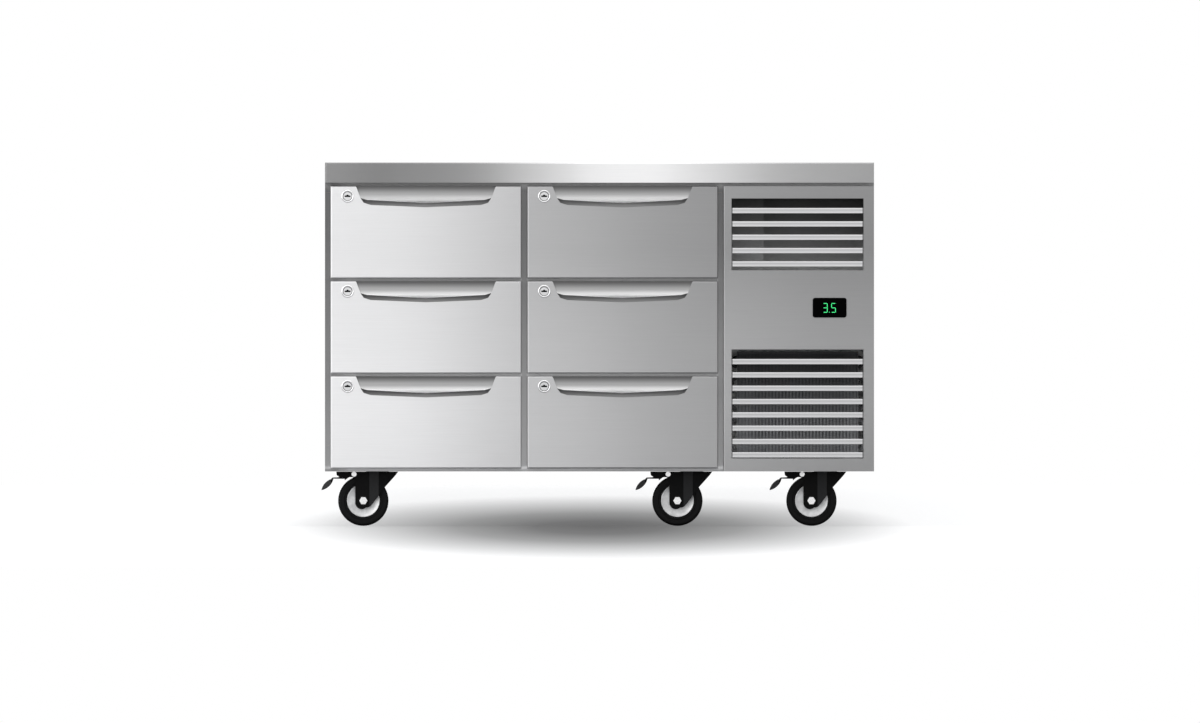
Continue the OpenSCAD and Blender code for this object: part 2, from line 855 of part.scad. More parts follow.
module compressor() {
    base_z = pan_z + skin_t;
    foot_h = 14;
    r = compressor_d / 2;
    y = 110;
    color("dimgray")
    translate([rear_x, y, base_z]) {
        // shell: a pressed can with a domed top and bottom and a weld seam
        translate([0, 0, foot_h])
            rotate_extrude()
                difference() {
                    union() {
                        from_to(0, 18, r, compressor_h - 30);
                        from_to(0, 0, r - 18, compressor_h);
                        translate([r - 18, 18])
                            circle(18);
                        translate([r - 30, compressor_h - 30])
                            circle(30);
                        from_to(0, compressor_h - 30, r - 30, compressor_h);
                        from_to(0, compressor_h * 0.55, r + 4, compressor_h * 0.55 + 3);
                    }
                    from_to(-2 * r, -r, 0, 3 * r);
                }
        // foot plate on four rubber bushes
        translate([0, 0, foot_h])
            linear_extrude(4)
                rounded(compressor_d + 30, compressor_d - 20, 10);
        for (x = [-1, 1], s = [-1, 1])
            translate([x * (compressor_d / 2), s * (compressor_d / 2 - 25), 0])
                cylinder(h = foot_h + 10, d = 18);
        // terminal box on the side
        translate([0, r - 8, foot_h + 60])
            linear_extrude(70)
                rounded(60, 40, 5);
        // discharge and suction pipes
        translate([-40, 0, foot_h + compressor_h - 20])
            rotate([0, 0, 180])
                elbow(40, 20, 15, 8);
        translate([30, -20, foot_h + compressor_h - 20])
            elbow(60, 10, 15, 10);
    }
}

module condenser() {
    fins = 36;
    bends = 5;
    pitch = coil_w / fins;
    z0 = coil_z - coil_h / 2;
    back = coil_y0 + coil_d;
    color("dimgray") {
        // finned block: slits between the fins on both faces, end plates at the sides
        difference() {
            translate([coil_x - coil_w / 2, coil_y0, z0])
                cube([coil_w, coil_d, coil_h]);
            for (i = [0 : fins - 1], y = [coil_y0 - 1, back - 12])
                translate([coil_x - coil_w / 2 + (i + 0.25) * pitch, y, z0 + 6])
                    cube([pitch / 2, 13, coil_h - 12]);
        }
        // return bends at both sides
        for (side = [-1, 1], i = [0 : bends - 1])
            translate([coil_x + side * coil_w / 2, coil_y0 + coil_d / 2, z0 + (i + 0.5) * coil_h / bends])
                rotate([0, 0, side > 0 ? 0 : 180])
                    rotate([90, 0, 0])
                        rotate([0, 0, -90])
                            rotate_extrude(angle = 180)
                                translate([12, 0])
                                    circle(d = 8);
        // feet down to the pan
        for (side = [-1, 1])
            translate([coil_x + side * (coil_w / 2 - 20) - 15, coil_y0 + 5, pan_z + skin_t])
                cube([30, coil_d - 10, z0 - pan_z - skin_t + eps]);
        // shroud with the fan's ring
        difference() {
            union() {
                translate([coil_x - coil_w / 2, back, z0])
                    cube([coil_w, shroud_d, coil_h]);
                translate([coil_x, 0, coil_z])
                    bar_y(back, fan_y + 22, fan_d + 14);
            }
            translate([coil_x - coil_w / 2 + 2, back - 1, z0 + 2])
                cube([coil_w - 4, shroud_d - 1, coil_h - 4]);
            translate([coil_x, 0, coil_z])
                bar_y(back - 2, fan_y + 30, fan_d + 8);
        }
        // motor on three arms
        translate([coil_x, 0, coil_z]) {
            difference() {
                bar_y(fan_y + 18, fan_y + 62, 70);
                bar_y(fan_y, fan_y + 50, 8 + 2 * run_fit);
            }
            for (a = [90, 210, 330])
                rotate([0, -a, 0])
                    translate([30, fan_y + 18, -5])
                        cube([fan_d / 2 + 5 - 30, 4, 10]);
        }
    }
}

// A fan along Z: a hub with tilted blades, and a shaft that goes down into the motor
module fan(d, blades, hub, depth, shaft) {
    cylinder(h = depth, d = hub);
    translate([0, 0, -shaft])
        cylinder(h = shaft + 1, d = 8);
    intersection() {
        cylinder(h = depth, d = d);
        for (i = [0 : blades - 1])
            rotate([0, 0, i * 360 / blades])
                translate([hub / 2 - 2, 0, depth / 2])
                    rotate([32, 0, 0])
                        translate([0, -d / 5, -0.8])
                            linear_extrude(1.6)
                                rounded_blade(d / 2 - hub / 2 + 2, d / 2.5);
    }
}

// Plan of a fan blade, from its root outwards, with a round tip
module rounded_blade(length, width) {
    from_to(0, width * 0.2, length * 0.6, width * 0.8);
    translate([length * 0.62, width / 2])
        circle(width / 2);
}

module condenser_fan() {
    color("black")
        translate([coil_x, fan_y + 14, coil_z])
            rotate([90, 0, 0])
                fan(fan_d, 5, fan_hub, fan_depth, fan_depth - 4);
}

evap_x0 = cold_x1 + liner_t;

module evaporator() {
    x0 = evap_x0 + 12;
    w = alcove_w - 28;
    y0 = alcove_y0 + 20;
    d = cold_y1 - alcove_y0 - 40;
    z0 = cold_floor_z + 60;
    h = evap_fan_z - evap_fan_d / 2 - 20 - z0;
    fins = 24;
    pitch = d / fins;
    color("silver") {
        // finned coil
        difference() {
            translate([x0, y0, z0])
                cube([w, d, h]);
            for (i = [0 : fins - 1], x = [x0 - 1, x0 + w - 12])
                translate([x, y0 + (i + 0.25) * pitch, z0 + 6])
                    cube([13, pitch / 2, h - 12]);
        }
        // return bends at the front end
        for (i = [0 : 4])
            translate([x0 + w / 2, y0, z0 + (i + 0.5) * h / 5])
                rotate([0, 0, 180])
                    rotate([0, -90, 0])
                        rotate_extrude(angle = 180)
                            translate([12, 0])
                                circle(d = 8);
        // drain pan under the coil, on the alcove's floor
        difference() {
            translate([x0 - 6, y0 - 12, cold_floor_z])
                cube([w + 12, d + 24, z0 - cold_floor_z - 20]);
            translate([x0 - 4, y0 - 10, cold_floor_z + 8])
                cube([w + 8, d + 20, z0]);
        }
        for (y = [y0, y0 + d - 4])
            translate([x0 + w / 2 - 20, y, cold_floor_z + 8 - eps])
                cube([40, 4, z0 - cold_floor_z - 8 + 2 * eps]);
        // fan ring over the coil, its plate and the motor
        translate([0, evap_fan_y, evap_fan_z]) {
            difference() {
                translate([x0, -d / 2, -evap_fan_d / 2 - 20 - eps])
                    cube([3, d, evap_fan_d + 40]);
                translate([x0 - 1, 0, 0])
                    rotate([0, 90, 0])
                        cylinder(h = 10, d = evap_fan_d + 6);
            }
            difference() {
                translate([x0 + 24, 0, 0])
                    rotate([0, 90, 0])
                        cylinder(h = w - 26, d = 50);
                translate([x0, 0, 0])
                    rotate([0, 90, 0])
                        cylinder(h = 45, d = 8 + 2 * run_fit);
            }
            for (y = [-1, 1])
                translate([x0 + 26, y > 0 ? 20 : -d / 2, -6])
                    cube([4, d / 2 - 20, 12]);
            for (y = [-1, 1])
                translate([x0, y * (d / 2 - 2) - 2, -6])
                    cube([30, 4, 12]);
        }
    }
}

module evaporator_fan() {
    color("black")
        translate([evap_x0 + 12 + 20, evap_fan_y, evap_fan_z])
            rotate([0, -90, 0])
                fan(evap_fan_d, 5, 34, 16, 16);
}

// ---------------------------------------------------------------- castors
module at_castor(n) {
    translate([castor_x(n), castor_y(n), 0])
        children();
}

module castor_plates() {
    stud_low = crown_z - seat_gap;
    color("gray")
    for (n = CASTORS)
        at_castor(n) {
            difference() {
                union() {
                    translate([0, 0, pan_z - plate_t])
                        linear_extrude(plate_t)
                            rounded(plate_w, plate_d, 8);
                    // upper race: a pressed cup over the balls
                    translate([0, 0, race_z + 7 + slide_fit])
                        cylinder(h = pan_z - plate_t - race_z - 7 - slide_fit + eps, r1 = race_r, r2 = race_r - 6);
                    for (x = [-1, 1], y = [-1, 1])
                        translate([x * (plate_w / 2 - 12), y * (plate_d / 2 - 12), pan_z - plate_t - 5.5])
                            cylinder(h = 6, d = 13, $fn = 6);
                    // kingpin with its nut under the crown
                    translate([0, 0, stud_low - 6])
                        cylinder(h = pan_z - plate_t - stud_low + 6, d = kingpin_d);
                    translate([0, 0, stud_low - 6])
                        cylinder(h = 6, d = kingpin_d + 6, $fn = 6);
                }
            }
        }
}

// Outline of a fork's leg in X and Z, from the kingpin's axis and the floor, in shares of the wheel's size
module leg_outline() {
    u = wheel_d / 125;
    up = crown_z + crown_t - axle_z;
    translate([-trail, axle_z]) {
        translate([-4 * u, -5 * u])
            circle(16 * u);
        translate([8 * u, -2 * u])
            circle(15 * u);
        polygon([
            [-20 * u, -5 * u], [8 * u, -17 * u], [22 * u, -9 * u], [35 * u, 8.5 * u], [53 * u, 33 * u],
            [70 * u, 52 * u], [79 * u, up - 10], [86.5 * u, up], [-20 * u, up]
        ]);
    }
}

// Housing of the brake, which the leg carries over the tyre
module brake_housing() {
    up = crown_z + crown_t;
    polygon([
        [-trail, up], [pin_x - 44, up], [pin_x - 43, up - 9], [pin_x - 35.5, pin_z - pin_d + 0.5],
        [pin_x - 7, pin_z - pin_d + 0.5], [-trail, pin_z - pin_d - 4]
    ]);
}

// Where the brake's pin goes through the fork, from the kingpin's axis and the floor
pin_d = 8;
pin_x = -trail - 23;
pin_z = crown_z + crown_t - pin_d / 2 - 2.3;

module castor_fork(braked) {
    ax = -trail;
    rib_t = 1.5;
    nut_t = 8;
    nut_d = 20;
    color("dimgray")
    difference() {
        union() {
            for (side = [0, 1])
                mirror([0, side, 0]) {
                    along_y(leg_in, leg_out) {
                        leg_outline();
                        if (braked)
                            brake_housing();
                    }
                    // pressed rib down the leg
                    along_y(leg_out - eps, leg_out + rib_t)
                        intersection() {
                            leg_outline();
                            from_to(ax + 15, 0, ax + 38, crown_z + crown_t);
                        }
                }
            // crown over the wheel, with the lower race on it
            translate([0, 0, crown_z])
                linear_extrude(crown_t) {
                    circle(race_r);
                    from_to(-46, -leg_in - eps, 30, leg_in + eps);
                }
            translate([0, 0, race_z - eps])
                cylinder(h = 7 + eps, r1 = race_r - 5, r2 = race_r);
            // axle bolt with its head and nut
            translate([ax, 0, axle_z]) {
                bar_y(-leg_out - eps, leg_out + eps, axle_d);
                for (y = [-leg_out, leg_out + nut_t])
                    translate([0, y, 0])
                        rotate([90, 0, 0])
                            cylinder(h = nut_t, d = nut_d, $fn = 6);
            }
            if (braked)
                translate([pin_x, 0, pin_z]) {
                    bar_y(-leg_out, leg_out, pin_d);
                    for (y = [-leg_out - 3, leg_out - eps])
                        bar_y(y, y + 3 + eps, pin_d + 4.4);
                }
        }
        cylinder(h = 2 * wheel_d, d = kingpin_d + 2 * run_fit);
    }
}

module castor_wheel() {
    hub_r = hub_d / 2;
    half = wheel_w / 2;
    color("black")
    translate([-trail, 0, axle_z])
        rotate([90, 0, 0])
            rotate_extrude($fn = 96)
                difference() {
                    union() {
                        // hub boss, web and rim
                        from_to(axle_d / 2 + run_fit, -half - 2, 16, half + 2);
                        from_to(15, -half + 7, hub_r, half - 7);
                        from_to(hub_r - 7, -half + 2, hub_r + 2, half - 2);
                        // tyre with a round shoulder
                        from_to(hub_r, -half + 4, wheel_r - 7, half - 4);
                        from_to(hub_r + 3, -half, wheel_r - 7, half);
                        from_to(wheel_r - 8, -half + 7, wheel_r, half - 7);
                        for (y = [-1, 1])
                            translate([wheel_r - 7, y * (half - 7)])
                                circle(7);
                    }
                }
}

// The pedal turns on its pin, and its shoe stands over the tread
module castor_brake() {
    ax = -trail;
    plate_in = wheel_w / 2 + 0.8;
    plate_out = leg_in - 0.4;
    shoe_r = wheel_r + 5.3;
    arm_top = axle_z + 58;
    arm_low = axle_z + 54;
    leaf_r = 37.2;
    leaf_off = 30.7;
    color("dimgray")
    difference() {
        union() {
            // side plates beside the tyre
            for (side = [0, 1])
                mirror([0, side, 0])
                    along_y(plate_in, plate_out) {
                        translate([pin_x, pin_z])
                            circle(d = pin_d + 4);
                        polygon([
                            [pin_x, pin_z - 6], [pin_x, pin_z + 5], [ax - 44, pin_z - 1], [ax - 62, arm_top],
                            [ax - 76, arm_top - 0.5], [ax - 80, arm_low + 0.5], [ax - 46, arm_low],
                            [ax - 36, pin_z - 6]
                        ]);
                    }
            // arm over the wheel, and the shoe under it
            along_y(-plate_out, plate_out) {
                polygon([
                    [ax - 46, arm_top], [ax - 76, arm_top - 0.5], [ax - 80, arm_low + 0.5], [ax - 46, arm_low]
                ]);
                difference() {
                    from_to(ax - 46, axle_z + 47, ax - 34, pin_z - 3);
                    translate([ax, axle_z])
                        circle(shoe_r, $fn = 96);
                }
            }
            // leaf-shaped pad
            along_y(-leg_out, leg_out)
                translate([ax - 89, axle_z + 40.5])
                    rotate([0, 0, 44])
                        intersection() {
                            translate([0, -leaf_off])
                                circle(leaf_r, $fn = 96);
                            translate([0, leaf_off])
                                circle(leaf_r, $fn = 96);
                        }
        }
        translate([pin_x, 0, pin_z])
            bar_y(-leg_out - 5, leg_out + 5, pin_d + 2 * run_fit);
    }
}

cabinet_shell();
inner_liner();
insulation();
worktop();
front_frame();
fascia_panel();
louvres();
display_module();
slide_rack();
castor_plates();
compressor();
condenser();
condenser_fan();
evaporator();
evaporator_fan();
for (n = DRAWERS) {
    at_drawer(n) drawer_front();
    at_drawer(n) drawer_gasket();
    at_drawer(n) drawer_box();
    at_drawer(n) drawer_slides();
    at_drawer(n) drawer_lock();
}
for (n = CASTORS) {
    at_castor(n) castor_fork(n <= 3);
    at_castor(n) castor_wheel();
}
for (n = BRAKED)
    at_castor(n) castor_brake();
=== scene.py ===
"""Undercounter drawer refrigerator: finishes, trim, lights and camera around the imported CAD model."""

import json
import math

import bmesh
import bpy
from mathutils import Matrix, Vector


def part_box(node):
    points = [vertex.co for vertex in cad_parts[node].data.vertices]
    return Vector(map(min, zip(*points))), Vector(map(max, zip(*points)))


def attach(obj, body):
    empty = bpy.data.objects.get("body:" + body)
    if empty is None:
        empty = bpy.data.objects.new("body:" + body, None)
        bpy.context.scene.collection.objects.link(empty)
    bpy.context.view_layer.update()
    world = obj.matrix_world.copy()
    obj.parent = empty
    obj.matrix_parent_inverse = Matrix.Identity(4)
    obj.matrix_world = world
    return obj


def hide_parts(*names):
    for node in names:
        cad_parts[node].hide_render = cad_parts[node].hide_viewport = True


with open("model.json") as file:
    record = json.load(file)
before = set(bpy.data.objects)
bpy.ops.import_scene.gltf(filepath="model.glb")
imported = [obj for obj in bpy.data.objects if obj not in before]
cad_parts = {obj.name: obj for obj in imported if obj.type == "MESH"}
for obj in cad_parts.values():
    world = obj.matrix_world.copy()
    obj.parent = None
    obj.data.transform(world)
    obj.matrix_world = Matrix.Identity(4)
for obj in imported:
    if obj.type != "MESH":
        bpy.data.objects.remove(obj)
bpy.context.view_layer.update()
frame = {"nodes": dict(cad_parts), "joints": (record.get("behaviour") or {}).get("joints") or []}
cad_nodes = frame["nodes"]

# ------------------------------------------------------------------------------------------------------------
# Camera. The photograph is a straight front view without perspective, so the camera is orthographic. One
# pixel of the 1200 x 723 photograph is 2.477 mm on the refrigerator. Its castors stand at row 525.9.
PIXEL = 0.002477
PHOTO_SIZE = (1200, 723)
FLOOR_ROW = 525.9
MIDDLE_COLUMN = 599.5
CAMERA_Y = -6.0

camera_data = bpy.data.cameras.new("camera")
camera_data.type = "ORTHO"
camera_data.ortho_scale = PHOTO_SIZE[0] * PIXEL
camera = bpy.data.objects.new("camera", camera_data)
camera.location = (
    (PHOTO_SIZE[0] / 2 - MIDDLE_COLUMN) * PIXEL,
    CAMERA_Y,
    (FLOOR_ROW - PHOTO_SIZE[1] / 2) * PIXEL,
)
camera.rotation_euler = (math.radians(90), 0, 0)
bpy.context.scene.collection.objects.link(camera)
bpy.context.scene.camera = camera
bpy.context.scene.view_settings.view_transform = "Standard"

# ------------------------------------------------------------------------------------------------------------
# Studio. A plain white room: even light from the world, a wide soft light overhead and one at the left front,
# whose reflection adds a little to the fade over the stainless fronts from left to right; most of that fade
# is a painted reflection in their colour. The background is white for the camera.
ROOM_LIGHT = (0.95, 0.97, 1.0)
ROOM_STRENGTH = 0.62
BACKDROP = (1.0, 1.0, 1.0)
BACKDROP_STRENGTH = 1.0


def soft_light(name, size, place, target, power):
    """A square area light that looks at a point."""
    data = bpy.data.lights.new(name, "AREA")
    data.shape = "SQUARE"
    data.size = size
    data.energy = power
    light = bpy.data.objects.new(name, data)
    light.location = place
    light.rotation_euler = (Vector(target) - Vector(place)).to_track_quat("-Z", "Y").to_euler()
    bpy.context.scene.collection.objects.link(light)


soft_light("overhead_light", size=3.4, place=(0.0, -0.6, 3.4), target=(0, 0, 0.4), power=40)
soft_light("left_front_light", size=2.2, place=(-2.3, -3.4, 1.5), target=(-0.3, -0.3, 0.5), power=30)


def feed(tree, socket, value):
    """Gives an input its value: another node's output, a number or an RGB colour."""
    if isinstance(value, bpy.types.NodeSocket):
        tree.links.new(value, socket)
    elif isinstance(value, tuple):
        socket.default_value = (*value, 1)
    else:
        socket.default_value = value


def maths(tree, operation, *values):
    """A maths node whose inputs are sockets or numbers."""
    node = tree.nodes.new("ShaderNodeMath")
    node.operation = operation
    for socket, value in zip(node.inputs, values):
        feed(tree, socket, value)
    return node.outputs[0]


world = bpy.data.worlds.new("studio")
world.use_nodes = True
bpy.context.scene.world = world
tree = world.node_tree
tree.nodes.clear()
rays = tree.nodes.new("ShaderNodeLightPath").outputs
camera_or_gloss = maths(tree, "MAXIMUM", rays["Is Camera Ray"], rays["Is Glossy Ray"])
world_mix = tree.nodes.new("ShaderNodeMixShader")
feed(tree, world_mix.inputs["Fac"], maths(tree, "MAXIMUM", camera_or_gloss, rays["Is Transmission Ray"]))
for shader_input, colour, strength in (
    (world_mix.inputs[1], ROOM_LIGHT, ROOM_STRENGTH),
    (world_mix.inputs[2], BACKDROP, BACKDROP_STRENGTH),
):
    background = tree.nodes.new("ShaderNodeBackground")
    feed(tree, background.inputs["Color"], colour)
    feed(tree, background.inputs["Strength"], strength)
    feed(tree, shader_input, background.outputs["Background"])
world_out = tree.nodes.new("ShaderNodeOutputWorld")
feed(tree, world_out.inputs["Surface"], world_mix.outputs["Shader"])

# ------------------------------------------------------------------------------------------------------------
# Floor. A pale studio floor, level under the castors. In front of the refrigerator it falls away a little and
# behind it rises a little, so that the straight front view shows the soft shadow that the photograph has.
FLOOR_HALF = 3.2
FLOOR_CELLS = (8, 320)
FLOOR_CLEARANCE = 0.0002
LEVEL_HALF = 0.30
RAMP_LENGTH = 0.42
RAMP_HEIGHT = 0.10
FLOOR_ROUGH = 0.9
FLOOR_SHINE = 0.1
FLOOR_TINT = (0.50, 0.50, 0.50)
FLOOR_GLOW = 0.64
# painted shadow: a soft ellipse painted into the floor's colour and its glow for the camera, darkest under
# the refrigerator
SHADOW_HALF_WIDTH = 0.78
SHADOW_HALF_HEIGHT = 0.080
SHADOW_DROP = 0.05
SHADOW_TONES = [(0.0, 0.165), (0.2, 0.20), (0.45, 0.355), (0.75, 0.69), (1.0, 1.0)]


def new_material(name):
    """A new material, its node tree and its Principled shader."""
    material = bpy.data.materials.new(name)
    material.use_nodes = True
    return material, material.node_tree, material.node_tree.nodes["Principled BSDF"]


def own_place(tree):
    """A point's place on its object."""
    return tree.nodes.new("ShaderNodeTexCoord").outputs["Object"]


def tones(tree, value, stops, cool=1.0, smooth=False):
    """A grey that changes with a value. stops are (place 0 to 1, grey), and cool strengthens the blue."""
    node = tree.nodes.new("ShaderNodeValToRGB")
    node.color_ramp.interpolation = "CARDINAL" if smooth else "LINEAR"
    points = node.color_ramp.elements
    while len(points) < len(stops):
        points.new(0.5)
    for point, (place, grey) in zip(points, stops):
        point.position = place
        point.color = (grey, grey, grey * cool, 1)
    feed(tree, node.inputs["Fac"], value)
    return node.outputs["Color"]


def times(tree, first, second):
    """One colour multiplied by another."""
    mix = tree.nodes.new("ShaderNodeMix")
    mix.data_type = "RGBA"
    mix.blend_type = "MULTIPLY"
    mix.inputs["Factor"].default_value = 1.0
    feed(tree, mix.inputs["A"], first)
    feed(tree, mix.inputs["B"], second)
    return mix.outputs["Result"]


mesh = bmesh.new()
bmesh.ops.create_grid(mesh, x_segments=FLOOR_CELLS[0], y_segments=FLOOR_CELLS[1], size=FLOOR_HALF)
for vertex in mesh.verts:
    way = min(1.0, max(0.0, abs(vertex.co.y) - LEVEL_HALF) / RAMP_LENGTH)
    rise = way * way * (3 - 2 * way) * RAMP_HEIGHT
    vertex.co.z = math.copysign(rise, vertex.co.y) - FLOOR_CLEARANCE
floor_mesh = bpy.data.meshes.new("floor")
mesh.to_mesh(floor_mesh)
mesh.free()
floor_mesh.shade_smooth()
floor = bpy.data.objects.new("floor", floor_mesh)
bpy.context.scene.collection.objects.link(floor)

floor_paint, tree, shader = new_material("floor_paint")
feed(tree, shader.inputs["Roughness"], FLOOR_ROUGH)
feed(tree, shader.inputs["Specular IOR Level"], FLOOR_SHINE)
fit = tree.nodes.new("ShaderNodeMapping")
fit.inputs["Location"].default_value = (0, 0, SHADOW_DROP)
fit.inputs["Scale"].default_value = (1 / SHADOW_HALF_WIDTH, 0, 1 / SHADOW_HALF_HEIGHT)
feed(tree, fit.inputs["Vector"], own_place(tree))
way_out = tree.nodes.new("ShaderNodeVectorMath")
way_out.operation = "LENGTH"
feed(tree, way_out.inputs[0], fit.outputs["Vector"])
# the painted shadow darkens both the floor's colour and its glow
painted_shadow = tones(tree, way_out.outputs["Value"], SHADOW_TONES)
feed(tree, shader.inputs["Base Color"], times(tree, painted_shadow, FLOOR_TINT))
feed(tree, shader.inputs["Emission Color"], painted_shadow)
camera_ray = tree.nodes.new("ShaderNodeLightPath").outputs["Is Camera Ray"]
feed(tree, shader.inputs["Emission Strength"], maths(tree, "MULTIPLY", camera_ray, FLOOR_GLOW))
floor_mesh.materials.append(floor_paint)

# ------------------------------------------------------------------------------------------------------------
# Stainless sheet: worktop, frame and shell. Satin-brushed steel, 1 to 1.2 mm thick, folded at its edges, with
# a fine grain along the sheet. Its slow changes of tone are a painted reflection of the room, and each area
# has its own.
BODY_HALF_X = 0.68
COOL = 1.005
GRAIN_FINE = 900
GRAIN_LONG = 9
GRAIN_DETAIL = 3.0
GRAIN_TONES = (0.95, 1.04)
GRAIN_RELIEF = 0.06
RELIEF_DEPTH = 0.0004
CLOUD_SCALE = 3.1
CLOUD_GLOSS = (-0.05, 0.07)
EDGE_R = 0.0005
EDGE_SAMPLES = 4


def ramp(tree, value, span, stops, smooth=True):
    """A tone that changes with a value over a span in metres. stops are (place 0 to 1, grey)."""
    node = tree.nodes.new("ShaderNodeMapRange")
    feed(tree, node.inputs["From Min"], span[0])
    feed(tree, node.inputs["From Max"], span[1])
    feed(tree, node.inputs["Value"], value)
    return tones(tree, node.outputs["Result"], stops, COOL, smooth)


def spread(tree, value, low, high):
    """A value from 0 to 1, laid out from low to high."""
    node = tree.nodes.new("ShaderNodeMapRange")
    feed(tree, node.inputs["To Min"], low)
    feed(tree, node.inputs["To Max"], high)
    feed(tree, node.inputs["Value"], value)
    return node.outputs["Result"]


def parts_of(tree, vector):
    """A vector's parts X, Y and Z, by name."""
    node = tree.nodes.new("ShaderNodeSeparateXYZ")
    feed(tree, node.inputs[0], vector)
    return node.outputs


def noise(tree, vector, scale, detail=2.0):
    """Noise from 0 to 1."""
    node = tree.nodes.new("ShaderNodeTexNoise")
    feed(tree, node.inputs["Scale"], scale)
    feed(tree, node.inputs["Detail"], detail)
    feed(tree, node.inputs["Vector"], vector)
    return node.outputs["Fac"]


def relief(tree, height, strength, normal=None):
    """The normal of a surface with a shallow relief."""
    node = tree.nodes.new("ShaderNodeBump")
    feed(tree, node.inputs["Strength"], strength)
    feed(tree, node.inputs["Distance"], RELIEF_DEPTH)
    feed(tree, node.inputs["Height"], height)
    if normal is not None:
        feed(tree, node.inputs["Normal"], normal)
    return node.outputs["Normal"]


def steel(
    name, stops, along="X", span=(-BODY_HALF_X, BODY_HALF_X), grain="X", rough=0.34, shade=None, extra=None
):
    """Brushed stainless steel whose tone, a painted reflection of the room, runs along one axis.

    shade is a second (axis, span, stops) of painted shade over it, and extra a function that paints
    light or shade by place.
    """
    material, tree, shader = new_material(name)
    feed(tree, shader.inputs["Metallic"], 1.0)
    place = own_place(tree)
    at = parts_of(tree, place)
    tone = ramp(tree, at[along], span, stops)
    if shade:
        tone = times(tree, tone, ramp(tree, at[shade[0]], shade[1], shade[2], smooth=False))
    if extra:
        tone = extra(tree, at, tone)
    # the grain: noise drawn out along the brushing direction
    drawn_out = tree.nodes.new("ShaderNodeMapping")
    drawn_out.inputs["Scale"].default_value = [GRAIN_LONG if axis == grain else GRAIN_FINE for axis in "XYZ"]
    feed(tree, drawn_out.inputs["Vector"], place)
    scratches = noise(tree, drawn_out.outputs["Vector"], 1.0, GRAIN_DETAIL)
    feed(tree, shader.inputs["Base Color"], times(tree, tone, spread(tree, scratches, *GRAIN_TONES)))
    # slow clouds in the gloss, as rolled sheet has
    clouds = noise(tree, place, CLOUD_SCALE)
    gloss = spread(tree, clouds, rough + CLOUD_GLOSS[0], rough + CLOUD_GLOSS[1])
    feed(tree, shader.inputs["Roughness"], gloss)
    # folded edges are a little round
    edge = tree.nodes.new("ShaderNodeBevel")
    edge.samples = EDGE_SAMPLES
    feed(tree, edge.inputs["Radius"], EDGE_R)
    feed(tree, shader.inputs["Normal"], relief(tree, scratches, GRAIN_RELIEF, edge.outputs["Normal"]))
    return material


def dress(node, material):
    """Gives a CAD node its material."""
    piece = cad_nodes[node]
    if not piece.material_slots:
        piece.data.materials.append(material)
    for slot in piece.material_slots:
        slot.material = material


def choose(tree, factor, first, second):
    """The first colour where the factor is 0 and the second where it is 1."""
    mix = tree.nodes.new("ShaderNodeMix")
    mix.data_type = "RGBA"
    feed(tree, mix.inputs["Factor"], factor)
    feed(tree, mix.inputs["A"], first)
    feed(tree, mix.inputs["B"], second)
    return mix.outputs["Result"]


# painted reflection along the worktop: bright in the middle, darker towards the ends
WORKTOP_PAINTED_REFLECTION = [
    (0.0, 0.25), (0.13, 0.23), (0.3, 0.37), (0.45, 0.72), (0.54, 0.86), (0.64, 0.80), (0.8, 0.5), (1.0, 0.36),
]
TOP_FACE_Z = 0.8994
TOP_PAINTED_SHADE = 0.72


def top_shade(tree, at, tone):
    """Painted shade: the worktop's upper face is painted a little darker than its folded edge."""
    on_top = maths(tree, "GREATER_THAN", at["Z"], TOP_FACE_Z)
    return times(tree, tone, maths(tree, "MULTIPLY_ADD", on_top, TOP_PAINTED_SHADE - 1, 1.0))


dress("worktop", steel("worktop_steel", WORKTOP_PAINTED_REFLECTION, extra=top_shade))

# Painted shade darkens the frame upwards, and painted light brightens its sill under the fronts' lower edges.
SILL_Z = 0.135
FRAME_Z = (SILL_Z, 0.85)
ROW_PITCH = 0.2355
COLUMN_MIDDLES = (-0.430, 0.057)
COLUMN_HALF = 0.237
FRAME_PAINTED_LIGHT = [
    (0.0, 0.45), (0.005, 0.54), (0.0085, 0.66), (0.0125, 0.92), (0.02, 0.60), (0.04, 0.54), (0.25, 0.425),
    (0.49, 0.345), (0.766, 0.265), (0.975, 0.23), (0.985, 0.32), (1.0, 0.32),
]
# painted shade on the frame's outer strip at the left
FRAME_SIDE_PAINTED_SHADE = ("X", (-BODY_HALF_X, 0.3), [(0.0, 0.56), (0.02, 0.6), (0.06, 1.0), (1.0, 1.0)])
RAIL_H = 0.0085
RAIL_PAINTED_LIGHT = 1.45
RAILS_MIDDLE_Z = 0.50
RAILS_REACH = 0.30


def paint_rail_light(tree, at, tone):
    """Painted light on the rails seen between two fronts, which lie in shade: they are painted a little
    brighter than the posts.
    """
    across = [maths(tree, "COMPARE", at["X"], middle, COLUMN_HALF) for middle in COLUMN_MIDDLES]
    row = maths(tree, "FLOORED_MODULO", maths(tree, "SUBTRACT", at["Z"], SILL_Z), ROW_PITCH)
    between = maths(tree, "MULTIPLY", maths(tree, "MAXIMUM", *across), maths(tree, "LESS_THAN", row, RAIL_H))
    crossbars = maths(tree, "COMPARE", at["Z"], RAILS_MIDDLE_Z, RAILS_REACH)
    in_rail = maths(tree, "MULTIPLY", between, crossbars)
    return times(tree, tone, maths(tree, "MULTIPLY_ADD", in_rail, RAIL_PAINTED_LIGHT - 1, 1.0))


frame_steel = steel(
    "frame_steel", FRAME_PAINTED_LIGHT, along="Z", span=FRAME_Z, grain="Z", shade=FRAME_SIDE_PAINTED_SHADE, extra=paint_rail_light
)
dress("front_frame", frame_steel)

# The shell is dull galvanised sheet on its inner side. Inside the machine bay its tone is painted shade, pale
# at the bottom and near black at the top.
SHELL_TONES = [(0.0, 0.5), (1.0, 0.6)]
BACK_SHEET_Y = 0.3395
BAY_MIDDLE_X = 0.4928
BAY_HALF = 0.1864
BAY_MIDDLE_Y = 0.0
BAY_Z = (0.16, 0.82)
